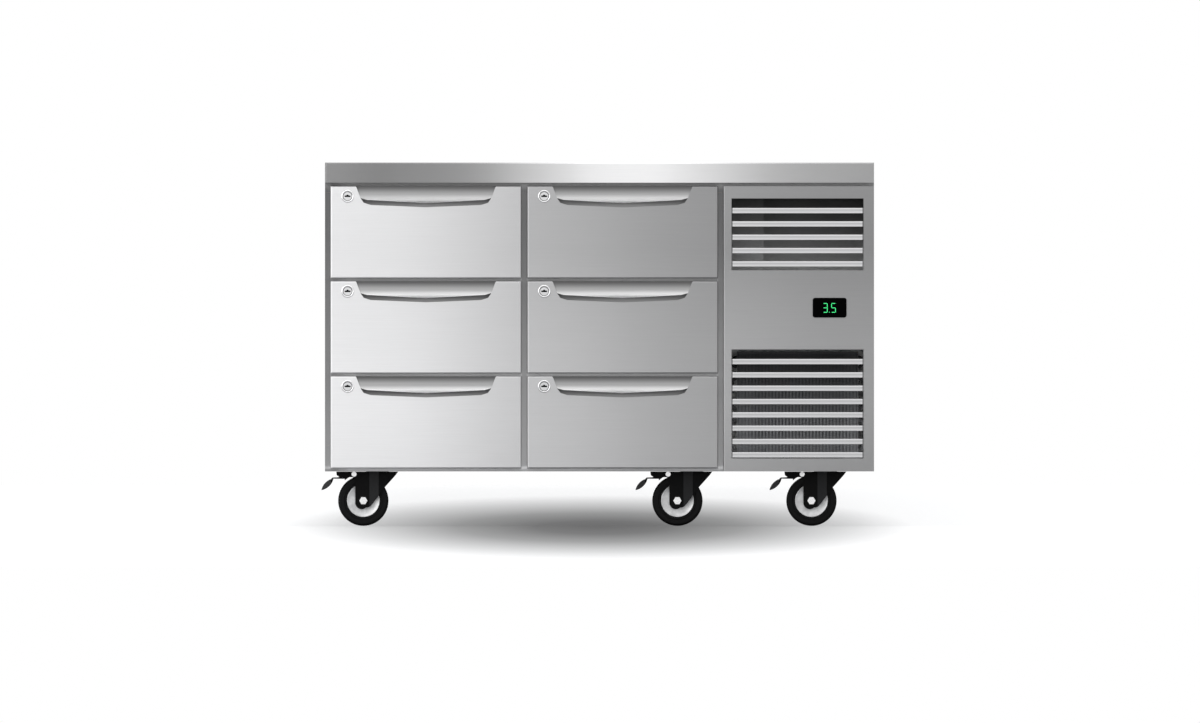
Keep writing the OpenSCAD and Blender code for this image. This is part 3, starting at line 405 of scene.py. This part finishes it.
# painted shade up the bay, in its rear half and in its front half
FAR_PAINTED_SHADE = [
    (0.0, 1.0), (0.667, 0.90), (0.726, 0.66), (0.767, 0.40), (0.815, 0.28), (0.864, 0.165), (0.917, 0.105),
    (0.97, 0.062), (1.0, 0.03),
]
NEAR_PAINTED_SHADE = [
    (0.0, 1.0), (0.667, 0.66), (0.726, 0.48), (0.767, 0.36), (0.815, 0.25), (0.864, 0.15), (0.917, 0.115),
    (0.97, 0.068), (1.0, 0.04),
]


def galvanised_with_painted_shade(tree, at, tone):
    """The shell's tone outside, and painted shade on the galvanised sheet inside the machine bay."""
    inside = maths(tree, "LESS_THAN", at["Y"], BACK_SHEET_Y)
    in_bay = maths(tree, "COMPARE", at["X"], BAY_MIDDLE_X, BAY_HALF)
    far = ramp(tree, at["Z"], BAY_Z, FAR_PAINTED_SHADE, smooth=False)
    near = ramp(tree, at["Z"], BAY_Z, NEAR_PAINTED_SHADE, smooth=False)
    bay_painted_shade = choose(tree, maths(tree, "LESS_THAN", at["Y"], BAY_MIDDLE_Y), far, near)
    return choose(tree, maths(tree, "MULTIPLY", inside, in_bay), tone, bay_painted_shade)


shell_steel = steel("shell_steel", SHELL_TONES, along="Z", span=FRAME_Z, grain="Z", extra=galvanised_with_painted_shade)
dress("cabinet_shell", shell_steel)

# ------------------------------------------------------------------------------------------------------------
# Inside of the cold room: the liner is bright stainless sheet, the foam behind it is rigid polyurethane, and
# the posts and slides are zinc-plated steel.
DRAWERS = range(1, 7)
LINER_TONES = [(0.0, 0.62), (1.0, 0.68)]
SLIDE_TONES = [(0.0, 0.5), (1.0, 0.56)]
LINER_Z = (0.2, 0.83)
SLIDES_Y = (-0.3, 0.3)
PLAIN_DETAIL = 4.0
PLAIN_PLACES = (0.3, 0.7)
PLAIN_GLOSS = 0.06
SMOOTHEST = 0.02


def plain(name, colour, rough, metal=0.0, speckle=0.08, scale=60.0, bump=0.1, coat=0.0, shine=0.5):
    """A painted, moulded or cast surface: one colour with a fine uneven tone and a fine texture."""
    material, tree, shader = new_material(name)
    feed(tree, shader.inputs["Metallic"], metal)
    feed(tree, shader.inputs["Coat Weight"], coat)
    feed(tree, shader.inputs["Specular IOR Level"], shine)
    grain = noise(tree, own_place(tree), scale, PLAIN_DETAIL)
    tone = tree.nodes.new("ShaderNodeValToRGB")
    darker, lighter = tone.color_ramp.elements
    darker.position, lighter.position = PLAIN_PLACES
    darker.color = [part * (1 - speckle) for part in colour] + [1]
    lighter.color = [min(1, part * (1 + speckle)) for part in colour] + [1]
    feed(tree, tone.inputs["Fac"], grain)
    feed(tree, shader.inputs["Base Color"], tone.outputs["Color"])
    gloss = spread(tree, grain, max(SMOOTHEST, rough - PLAIN_GLOSS), rough + PLAIN_GLOSS)
    feed(tree, shader.inputs["Roughness"], gloss)
    feed(tree, shader.inputs["Normal"], relief(tree, grain, bump))
    return material


liner_steel = steel("liner_steel", LINER_TONES, along="Z", span=LINER_Z, rough=0.28)
slide_steel = steel("slide_steel", SLIDE_TONES, along="Y", span=SLIDES_Y, grain="Y", rough=0.3)
foam = plain("foam", (0.72, 0.62, 0.36), rough=0.9, speckle=0.12, scale=400, bump=0.5)
dress("inner_liner", liner_steel)
dress("insulation", foam)
dress("slide_rack", slide_steel)
for number in DRAWERS:
    dress(f"drawer_{number}_slides", slide_steel)

# ------------------------------------------------------------------------------------------------------------
# Fascia and louvres: the fascia is a folded stainless cover, and its louvre blades are folded from the same
# sheet, with a face that leans back. Each blade carries painted light: a painted highlight on its upper and
# lower fold, painted shade on its face and a painted shadow at each end.
# painted reflection across the fascia, and painted shade and light up its height
FASCIA_PAINTED_REFLECTION = [(0.0, 0.41), (0.5, 0.37), (1.0, 0.35)]
FASCIA_X = (0.307, BODY_HALF_X)
FASCIA_PAINTED_SHADE = (
    "Z", (SILL_Z, 0.84), [(0.0, 0.98), (0.25, 1.06), (0.46, 1.01), (0.60, 0.92), (0.78, 0.76), (1.0, 0.82)]
)
BLADE_TONES = [(0.0, 0.67), (1.0, 0.68)]
BLADE_MIDDLE_X = 0.4905
BLADE_HALF = 0.1635
BLADE_H = 0.013
BLADE_PITCH = 0.033
UPPER_BLADE_TOP = 0.7875
LOWER_BLADE_TOP = 0.4135
BETWEEN_OPENINGS_Z = 0.55
FOLD_PAINTED_LIGHT = [(0.0, 1.0), (0.16, 0.98), (0.3, 0.68), (0.6, 0.74), (1.0, 1.0)]
END_LENGTH = 0.0085
END_PAINTED_SHADOW = [(0.0, 1.0), (0.4, 1.0), (0.5, 1.08), (0.62, 1.08), (0.72, 0.30), (1.0, 0.25)]


def blade_painted_light(tree, at, tone):
    """Painted light down each blade: a painted highlight on the upper and lower fold and painted shade on the
    face.
    A painted shadow at its ends, with a thin painted highlight just inside them.
    """
    upper = maths(tree, "GREATER_THAN", at["Z"], BETWEEN_OPENINGS_Z)
    first = maths(tree, "MULTIPLY_ADD", upper, UPPER_BLADE_TOP - LOWER_BLADE_TOP, LOWER_BLADE_TOP)
    down = maths(tree, "FLOORED_MODULO", maths(tree, "SUBTRACT", first, at["Z"]), BLADE_PITCH)
    sideways = maths(tree, "ABSOLUTE", maths(tree, "SUBTRACT", at["X"], BLADE_MIDDLE_X))
    end_shadow = ramp(tree, sideways, (BLADE_HALF - END_LENGTH, BLADE_HALF), END_PAINTED_SHADOW, smooth=False)
    return times(tree, times(tree, tone, end_shadow), ramp(tree, down, (0, BLADE_H), FOLD_PAINTED_LIGHT))


fascia_steel = steel("fascia_steel", FASCIA_PAINTED_REFLECTION, span=FASCIA_X, rough=0.36, shade=FASCIA_PAINTED_SHADE)
blade_x = (BLADE_MIDDLE_X - BLADE_HALF, BLADE_MIDDLE_X + BLADE_HALF)
blade_steel = steel("blade_steel", BLADE_TONES, span=blade_x, rough=0.3, extra=blade_painted_light)
dress("fascia_panel", fascia_steel)
dress("louvres", blade_steel)

# ------------------------------------------------------------------------------------------------------------
# Refrigeration set behind the fascia: black lacquered coil and shroud whose colour is painted light, pale at
# the bottom and darkening up the bay and towards the ends, black enamelled compressor, bare aluminium
# evaporator, moulded fans.
COIL_Z = (0.16, 0.44)
COIL_PAINTED_LIGHT = [
    (0.0, 1.0), (0.126, 0.98), (0.233, 0.80), (0.357, 0.70), (0.471, 0.48), (0.596, 0.42), (0.71, 0.23),
    (0.825, 0.16), (1.0, 0.09),
]
COIL_ENDS = (0.10, 0.155)
COIL_END_PAINTED_SHADE = [(0.0, 0.60), (0.4, 0.75), (1.0, 1.0)]

coil_lacquer_painted_light = plain("coil_lacquer_painted_light", (0.88, 0.88, 0.89), rough=0.6, scale=220, bump=0.2, shine=0.15)
tree = coil_lacquer_painted_light.node_tree
colour = tree.nodes["Principled BSDF"].inputs["Base Color"]
at = parts_of(tree, own_place(tree))
# painted light: pale low in the bay, darkening towards its top and towards the ends
coil_light_up_bay = ramp(tree, at["Z"], COIL_Z, COIL_PAINTED_LIGHT, smooth=False)
off_middle = maths(tree, "ABSOLUTE", maths(tree, "SUBTRACT", at["X"], BAY_MIDDLE_X))
coil_shade_at_ends = ramp(tree, off_middle, COIL_ENDS, COIL_END_PAINTED_SHADE, smooth=False)
feed(tree, colour, times(tree, colour.links[0].from_socket, times(tree, coil_light_up_bay, coil_shade_at_ends)))
compressor_enamel = plain("compressor_enamel", (0.02, 0.02, 0.022), rough=0.32, coat=0.5, scale=150)
fin_aluminium = plain("fin_aluminium", (0.72, 0.73, 0.75), rough=0.35, metal=1.0, scale=200)
fan_plastic = plain("fan_plastic", (0.03, 0.03, 0.033), rough=0.45, scale=300)
dress("condenser", coil_lacquer_painted_light)
dress("compressor", compressor_enamel)
dress("evaporator", fin_aluminium)
dress("condenser_fan", fan_plastic)
dress("evaporator_fan", fan_plastic)

# ------------------------------------------------------------------------------------------------------------
# Dust screen: a dark sheet with the texture of a fine mesh of coated steel wire, which stands just inside the
# air slots of the back and covers them all. It stands partly for a real screen and partly as a dark sheet
# that keeps the machine bay in shade.
SCREEN_MIDDLE = (0.5425, 0.3383, 0.5470)
SCREEN_SIZE = (0.204, 0.0006, 0.172)
MERGE_DISTANCE = 0.00001
SHARP_ANGLE = math.radians(38)


def new_piece(name, mesh, material, body, smooth=True):
    """Makes a finished piece of a bmesh whose points are already in place."""
    bmesh.ops.remove_doubles(mesh, verts=mesh.verts, dist=MERGE_DISTANCE)
    bmesh.ops.recalc_face_normals(mesh, faces=mesh.faces)
    data = bpy.data.meshes.new(name)
    mesh.to_mesh(data)
    mesh.free()
    if smooth:
        data.shade_smooth()
        data.set_sharp_from_angle(angle=SHARP_ANGLE)
    data.materials.append(material)
    piece = bpy.data.objects.new(name, data)
    bpy.context.scene.collection.objects.link(piece)
    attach(piece, body)
    return piece


mesh = bmesh.new()
bmesh.ops.create_cube(mesh, size=1.0)
bmesh.ops.scale(mesh, vec=SCREEN_SIZE, verts=mesh.verts)
bmesh.ops.translate(mesh, vec=SCREEN_MIDDLE, verts=mesh.verts)
shade_screen_black = plain("shade_screen_black", (0.012, 0.012, 0.013), rough=0.7, scale=900, bump=0.5, shine=0.1)
new_piece("dust_and_shade_screen", mesh, shade_screen_black, "cabinet", smooth=False)

# ------------------------------------------------------------------------------------------------------------
# Display: a glossy black window in a rounded bezel, flush on the fascia, with green lit figures that show a
# plain temperature. The figures are thin seven-segment bars on the window's face.
FIGURE_ROUGH = 0.4
FIGURE_W = 0.0113
FIGURE_H = 0.0236
FIGURE_GAP = 0.0090
FIGURES_SHIFT = (-0.0005, -0.0004)
BAR_T = 0.0016
BAR_DEPTH = 0.0004
BAR_CORNER = 0.42
BAR_JOINT = 0.0008
BAR_CLEARANCE = 0.00005
DOT_SIDE = 0.0018
DOT_X = -0.0001
# middle of each bar in figure widths and heights, and whether it lies flat
BARS = {
    "a": (0, 0.5, True), "g": (0, 0, True), "d": (0, -0.5, True),
    "f": (-0.5, 0.25, False), "b": (0.5, 0.25, False), "c": (0.5, -0.25, False),
}
# the lit bars of the left figure and of the right one
LIT = ((-1, "abgcd"), (1, "afgcd"))
GREEN = (0.05, 0.45, 0.12)
GREEN_LIGHT = (0.04, 0.95, 0.28)
FLICKER_SCALE = 500
FLICKER = (0.75, 1.05)

display_black = plain(
    "display_black", (0.0004, 0.0004, 0.0005), rough=0.35, speckle=0.03, bump=0.01, shine=0.015
)
dress("display_module", display_black)

figure_green, tree, shader = new_material("figure_green")
feed(tree, shader.inputs["Base Color"], GREEN)
feed(tree, shader.inputs["Roughness"], FIGURE_ROUGH)
feed(tree, shader.inputs["Emission Color"], GREEN_LIGHT)
flicker = noise(tree, own_place(tree), FLICKER_SCALE)
feed(tree, shader.inputs["Emission Strength"], spread(tree, flicker, *FLICKER))


def add_bar(mesh, x, z, wide, high):
    """One lit bar with its corners cut."""
    made = bmesh.ops.create_cube(mesh, size=1.0)["verts"]
    bmesh.ops.scale(mesh, vec=(wide, BAR_DEPTH, high), verts=made)
    edges = {e for v in made for e in v.link_edges if abs((e.verts[0].co - e.verts[1].co).y) > BAR_DEPTH / 2}
    cut = bmesh.ops.bevel(
        mesh, geom=list(edges), offset=min(wide, high) * BAR_CORNER,
        affect="EDGES", segments=1, profile=0.5, material=-1,
    )
    bar = list(set(cut["verts"]) | {v for v in made if v.is_valid})
    bmesh.ops.translate(mesh, vec=(x, 0, z), verts=bar)


mesh = bmesh.new()
for side, lit in LIT:
    for bar_x, bar_z, flat in (BARS[bar] for bar in lit):
        x = side * (FIGURE_W + FIGURE_GAP) / 2 + bar_x * (FIGURE_W - BAR_T)
        z = bar_z * (FIGURE_H - BAR_T)
        if flat:
            add_bar(mesh, x, z, FIGURE_W - BAR_T - BAR_JOINT, BAR_T)
        else:
            add_bar(mesh, x, z, BAR_T, (FIGURE_H - BAR_T) / 2 - BAR_JOINT)
add_bar(mesh, DOT_X, (DOT_SIDE - FIGURE_H) / 2, DOT_SIDE, DOT_SIDE)
display_low, display_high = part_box("display_module")
middle = (display_low + display_high) / 2
bars_place = (
    middle.x + FIGURES_SHIFT[0],
    display_low.y - BAR_DEPTH / 2 - BAR_CLEARANCE,
    middle.z + FIGURES_SHIFT[1],
)
bmesh.ops.translate(mesh, vec=bars_place, verts=mesh.verts)
new_piece("display_figures", mesh, figure_green, "cabinet", smooth=False)

# ------------------------------------------------------------------------------------------------------------
# Drawers: foam-filled stainless fronts with a pressed pull along the top edge, whose lip curls out of the
# recess over the finger pocket. The lip carries painted light and the pocket a painted shadow. A painted
# reflection falls in tone from the left column to the right one.
ROWS = 3
FRONT_LOW_Z = 0.1425
FRONT_H = 0.228
FRONT_HALF = 0.236
FRONTS_Z = (0.14, 0.84)
FACE_Y = -0.346
FACE_SLACK = 0.00015
BOXES_Y = (-0.3, 0.25)
BOX_TONES = [(0.0, 0.6), (1.0, 0.66)]
PULL_HALF = 0.1737
PULL_H = 0.0525
LIP_BACK_Y = -0.335
LIP_DROP = (0.0, 0.042)
# painted light down the lip, from dark at its top to a bright highlight at its free edge
LIP_PAINTED_LIGHT = [
    (0.0, 0.10), (0.13, 0.15), (0.25, 0.225), (0.42, 0.35), (0.60, 0.335), (0.72, 0.43), (0.82, 0.66),
    (0.90, 1.0),
]
POCKET_DROP = (0.034, 0.052)
# painted shadow in the finger pocket
POCKET_PAINTED_SHADOW = [(0.0, 0.12), (0.45, 0.19), (0.7, 0.29), (1.0, 0.40)]
# for each column: its name, the painted reflection from left to right, and the painted shade from the bottom
# up over them
COLUMN_PAINTED_REFLECTION = (
    (
        "left", [(0.0, 0.77), (0.5, 0.72), (1.0, 0.56)],
        [(0.0, 1.105), (0.2, 1.10), (0.44, 1.02), (0.776, 0.94), (1.0, 0.94)],
    ),
    (
        "right", [(0.0, 0.53), (0.5, 0.44), (1.0, 0.363)],
        [(0.0, 1.14), (0.104, 1.13), (0.44, 1.02), (0.776, 0.86), (1.0, 0.85)],
    ),
)


def pull_painted_light(middle_x):
    """Painted light over a pull: the lip is painted from dark at its top to a bright highlight at its free
    edge, and its pocket carries a painted shadow.
    """

    def shade(tree, at, tone):
        row = maths(tree, "FLOORED_MODULO", maths(tree, "SUBTRACT", at["Z"], FRONT_LOW_Z), ROW_PITCH)
        drop = maths(tree, "SUBTRACT", FRONT_H, row)
        off_face = maths(tree, "SUBTRACT", 1.0, maths(tree, "COMPARE", at["Y"], FACE_Y, FACE_SLACK))
        across = maths(tree, "COMPARE", at["X"], middle_x, PULL_HALF)
        pressed = maths(tree, "MULTIPLY", off_face, across)
        in_pull = maths(tree, "MULTIPLY", maths(tree, "LESS_THAN", drop, PULL_H), pressed)
        lip_light = ramp(tree, drop, LIP_DROP, LIP_PAINTED_LIGHT, smooth=False)
        pocket_shadow = ramp(tree, drop, POCKET_DROP, POCKET_PAINTED_SHADOW, smooth=False)
        behind = maths(tree, "GREATER_THAN", at["Y"], LIP_BACK_Y)
        return choose(tree, in_pull, tone, choose(tree, behind, lip_light, pocket_shadow))

    return shade


front_steels = [
    steel(
        f"front_steel_{name}", reflection_across, span=(middle_x - FRONT_HALF, middle_x + FRONT_HALF),
        shade=("Z", FRONTS_Z, shade_up_column), extra=pull_painted_light(middle_x),
    )
    for (name, reflection_across, shade_up_column), middle_x in zip(COLUMN_PAINTED_REFLECTION, COLUMN_MIDDLES)
]
gasket_rubber = plain("gasket_rubber", (0.16, 0.16, 0.165), rough=0.6, scale=250)
box_steel = steel("box_steel", BOX_TONES, along="Y", span=BOXES_Y, grain="Y", rough=0.3)
for number in DRAWERS:
    dress(f"drawer_{number}_front", front_steels[(number - 1) // ROWS])
    dress(f"drawer_{number}_gasket", gasket_rubber)
    dress(f"drawer_{number}_box", box_steel)

# ------------------------------------------------------------------------------------------------------------
# Locks: a polished round bezel on the front, and in it the turning plug with a black keyway shape, painted
# shade of the keyway. The bezel is a turned ring with a round nose and, inside it, a thin black ring that is
# painted shade of the gap to the plug. The plug is the CAD piece in satin nickel.
BEZEL_R = 0.0158
BEZEL_OUT = 0.0032
BEZEL_CLEARANCE = 0.0002
NOSE_STEPS = 8
NOSE_FLATTEN = 0.9
PLUG_R = 0.01155
PLUG_FACE = 0.0015
GAP_RING_W = 0.0011
GAP_RING_CLEARANCE = 0.0001
KEYWAY_HALF = 0.0076
KEYWAY_R = 0.0020
KEYWAY_SHADE_T = 0.0003
KEYWAY_TURN = 20
HUMP_R = 0.0032
HUMP_UP = 0.001
HUMP_STEPS = 10


def spun(profile, centre, steps=64):
    """Turns a closed outline of (radius, y) points round an axis along Y through centre."""
    mesh = bmesh.new()
    ring = [mesh.verts.new((radius, y, 0)) for radius, y in profile]
    edges = [mesh.edges.new((ring[i], ring[(i + 1) % len(ring)])) for i in range(len(ring))]
    bmesh.ops.spin(
        mesh, geom=ring + edges, cent=(0, 0, 0), axis=(0, 1, 0),
        angle=2 * math.pi, steps=steps, use_merge=True,
    )
    bmesh.ops.translate(mesh, vec=centre, verts=mesh.verts)
    return mesh


def keyway_outline():
    """Points (x, z) of a long slot with round ends and a round hump over its middle."""
    reach = KEYWAY_HALF - KEYWAY_R
    points = []
    for side, first in ((-1, 90), (1, 270)):
        for degrees in range(first, first + 181, KEYWAY_TURN):
            turn = math.radians(degrees)
            points.append((side * reach + KEYWAY_R * math.cos(turn), KEYWAY_R * math.sin(turn)))
    start = math.asin((KEYWAY_R - HUMP_UP) / HUMP_R)
    for step in range(HUMP_STEPS + 1):
        turn = start + (math.pi - 2 * start) * step / HUMP_STEPS
        points.append((HUMP_R * math.cos(turn), HUMP_UP + HUMP_R * math.sin(turn)))
    return points


lock_chrome = plain("lock_chrome", (0.86, 0.86, 0.87), rough=0.12, metal=1.0, speckle=0.02, bump=0.02)
plug_nickel = plain("plug_nickel", (0.68, 0.68, 0.69), rough=0.3, metal=1.0, speckle=0.04, bump=0.02)
shade_black = plain("shade_black", (0.002, 0.002, 0.002), rough=0.6, scale=300, shine=0.1)

# outlines of bezel and of the black ring of painted gap shade as (radius, y), with y from the front's face
nose_middle = (BEZEL_R + PLUG_R) / 2
nose_r = (BEZEL_R - PLUG_R) / 2
bezel = [(PLUG_R, -BEZEL_CLEARANCE), (PLUG_R, nose_r - BEZEL_OUT)]
for step in range(1, NOSE_STEPS):
    turn = math.pi * (1 - step / NOSE_STEPS)
    nose_y = nose_r * (1 - math.sin(turn)) * NOSE_FLATTEN - BEZEL_OUT
    bezel.append((nose_middle + nose_r * math.cos(turn), nose_y))
bezel += [(BEZEL_R, nose_r - BEZEL_OUT), (BEZEL_R, -BEZEL_CLEARANCE)]
gap_ring_back = -PLUG_FACE - GAP_RING_CLEARANCE
gap_ring_front = gap_ring_back - GAP_RING_W
gap_ring_r = PLUG_R - GAP_RING_W
gap_shadow_ring = [(gap_ring_r, gap_ring_back), (PLUG_R, gap_ring_back), (PLUG_R, gap_ring_front), (gap_ring_r, gap_ring_front)]

joints = {joint["name"]: joint for joint in frame["joints"]}
for number in DRAWERS:
    dress(f"drawer_{number}_lock", plug_nickel)
    middle = Vector(joints[f"lock_{number}_turn"]["pos_m"])
    front_body = f"drawer_{number}"
    new_piece(f"lock_bezel_{number}", spun(bezel, middle), lock_chrome, front_body)
    # painted shade of the gap between bezel and plug: a thin black ring
    new_piece(f"lock_gap_shadow_{number}", spun(gap_shadow_ring, middle), shade_black, front_body)
    # painted shade of the keyway: a thin black piece in its outline on the plug's face
    mesh = bmesh.new()
    rim = [mesh.verts.new(middle + Vector((x, gap_ring_back, z))) for x, z in keyway_outline()]
    grown = bmesh.ops.extrude_face_region(mesh, geom=[mesh.faces.new(rim)])["geom"]
    moved = [part for part in grown if isinstance(part, bmesh.types.BMVert)]
    bmesh.ops.translate(mesh, vec=(0, KEYWAY_SHADE_T, 0), verts=moved)
    new_piece(f"keyway_shade_{number}", mesh, shade_black, f"lock_{number}")

# ------------------------------------------------------------------------------------------------------------
# Castors: black powder-coated forks, zinc-plated top plates, and wheels with a black rubber tyre on a bright
# hub. The axle's nuts and the heads of the brake's pin are bare zinc. Only the front three have a brake.
CASTORS = range(1, 7)
BRAKED_CASTORS = range(1, 4)
LEG_OUT = 0.0222
RIB_OUT = 0.0228
RIB_X = 0.0265
RIB_HALF = 0.012
NUT_R = 0.0106
PIN_HEAD_R = 0.0065
PIN_FROM_AXLE = Vector((-0.023, 0, 0.0657))
LEAF_X = -0.080
RIB_TONE = (0.034, 0.034, 0.035)
LEAF_TONE = (0.062, 0.062, 0.063)
BARE_ZINC = (0.90, 0.90, 0.90)
BARE_POLISH = 0.28
WHEEL_STEPS = 96
WHEEL_R = 0.0625
WHEEL_HALF = 0.016
SHOULDER = 0.007
# half outlines as (radius, distance in from the wheel's side): the tyre's bore, corner and shallow groove,
# and the hub's boss, slightly dished web and rim
TYRE_SIDE = [(0.0405, 0.004), (0.0435, 0.0), (0.046, 0.0), (0.0468, 0.0008), (0.0478, 0.0)]
HUB_SIDE = [
    (0.0063, -0.002), (0.0158, -0.002), (0.0162, 0.0036), (0.030, 0.0042), (0.038, 0.003), (0.0395, 0.0024),
    (0.0405, 0.0028),
]


def arc(centre, radius, start, end, steps):
    """Points (radius, y) on an arc, angles in degrees from the radial direction towards -Y."""
    turns = [math.radians(start + (end - start) * step / steps) for step in range(steps + 1)]
    return [(centre[0] + radius * math.cos(turn), centre[1] - radius * math.sin(turn)) for turn in turns]


def both_sides(side):
    """A closed outline from its half on the -Y side."""
    return side + [(radius, -y) for radius, y in reversed(side)]


def castor_coat(number, axle):
    """The black coat of one castor: bare zinc at the nuts and pin heads, and a paler rib and pedal leaf."""
    material = plain(
        f"castor_coat_{number}", (0.003, 0.003, 0.0032), rough=0.5, scale=500, bump=0.2, shine=0.1
    )
    tree = material.node_tree
    shader = tree.nodes["Principled BSDF"]
    coat = shader.inputs["Base Color"].links[0].from_socket
    coat_gloss = shader.inputs["Roughness"].links[0].from_socket
    at = parts_of(tree, own_place(tree))
    side_view = tree.nodes.new("ShaderNodeCombineXYZ")
    feed(tree, side_view.inputs["X"], at["X"])
    feed(tree, side_view.inputs["Z"], at["Z"])

    def near(place, radius):
        """1 where a point is near a place, seen from the wheel's side."""
        way = tree.nodes.new("ShaderNodeVectorMath")
        way.operation = "DISTANCE"
        way.inputs[1].default_value = (place.x, 0, place.z)
        feed(tree, way.inputs[0], side_view.outputs[0])
        return maths(tree, "LESS_THAN", way.outputs["Value"], radius)

    out = maths(tree, "ABSOLUTE", maths(tree, "SUBTRACT", at["Y"], axle.y))
    spots = maths(tree, "MAXIMUM", near(axle, NUT_R), near(axle + PIN_FROM_AXLE, PIN_HEAD_R))
    bare = maths(tree, "MULTIPLY", spots, maths(tree, "GREATER_THAN", out, LEG_OUT))
    on_rib = maths(tree, "COMPARE", at["X"], axle.x + RIB_X, RIB_HALF)
    rib = maths(tree, "MULTIPLY", on_rib, maths(tree, "GREATER_THAN", out, RIB_OUT))
    leaf = maths(tree, "LESS_THAN", at["X"], axle.x + LEAF_X)
    pale = choose(tree, leaf, choose(tree, rib, coat, RIB_TONE), LEAF_TONE)
    feed(tree, shader.inputs["Base Color"], choose(tree, bare, pale, BARE_ZINC))
    feed(tree, shader.inputs["Metallic"], bare)
    polish = maths(tree, "MULTIPLY", bare, BARE_POLISH)
    feed(tree, shader.inputs["Roughness"], maths(tree, "SUBTRACT", coat_gloss, polish))
    return material


plate_zinc = plain("plate_zinc", (0.55, 0.56, 0.58), rough=0.35, metal=1.0, speckle=0.1, scale=90)
tyre_rubber = plain("tyre_rubber", (0.005, 0.005, 0.0052), rough=0.6, scale=350, bump=0.3, shine=0.16)
hub_metal = plain("hub_metal", (0.93, 0.93, 0.93), rough=0.4, metal=0.5, speckle=0.24, bump=0.03)
dress("castor_plates", plate_zinc)

tyre_side = [(radius, inwards - WHEEL_HALF) for radius, inwards in TYRE_SIDE]
tyre_side.append((WHEEL_R - SHOULDER, -WHEEL_HALF))
tyre_side += arc((WHEEL_R - SHOULDER, SHOULDER - WHEEL_HALF), SHOULDER, start=80, end=10, steps=6)
tyre_outline = both_sides(tyre_side)
hub_outline = both_sides([(radius, inwards - WHEEL_HALF) for radius, inwards in HUB_SIDE])
for number in CASTORS:
    axle = Vector(joints[f"wheel_{number}_roll"]["pos_m"])
    coat = castor_coat(number, axle)
    dress(f"castor_{number}_fork", coat)
    if number in BRAKED_CASTORS:
        dress(f"castor_{number}_brake", coat)
    wheel = f"wheel_{number}"
    tyre_ring = spun(tyre_outline, axle, WHEEL_STEPS)
    hub_disc = spun(hub_outline, axle, WHEEL_STEPS)
    tyre = new_piece(f"castor_tyre_{number}", tyre_ring, tyre_rubber, wheel)
    hub = new_piece(f"castor_hub_{number}", hub_disc, hub_metal, wheel)
    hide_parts(f"castor_{number}_wheel")
    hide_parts(f"castor_{number}_wheel")
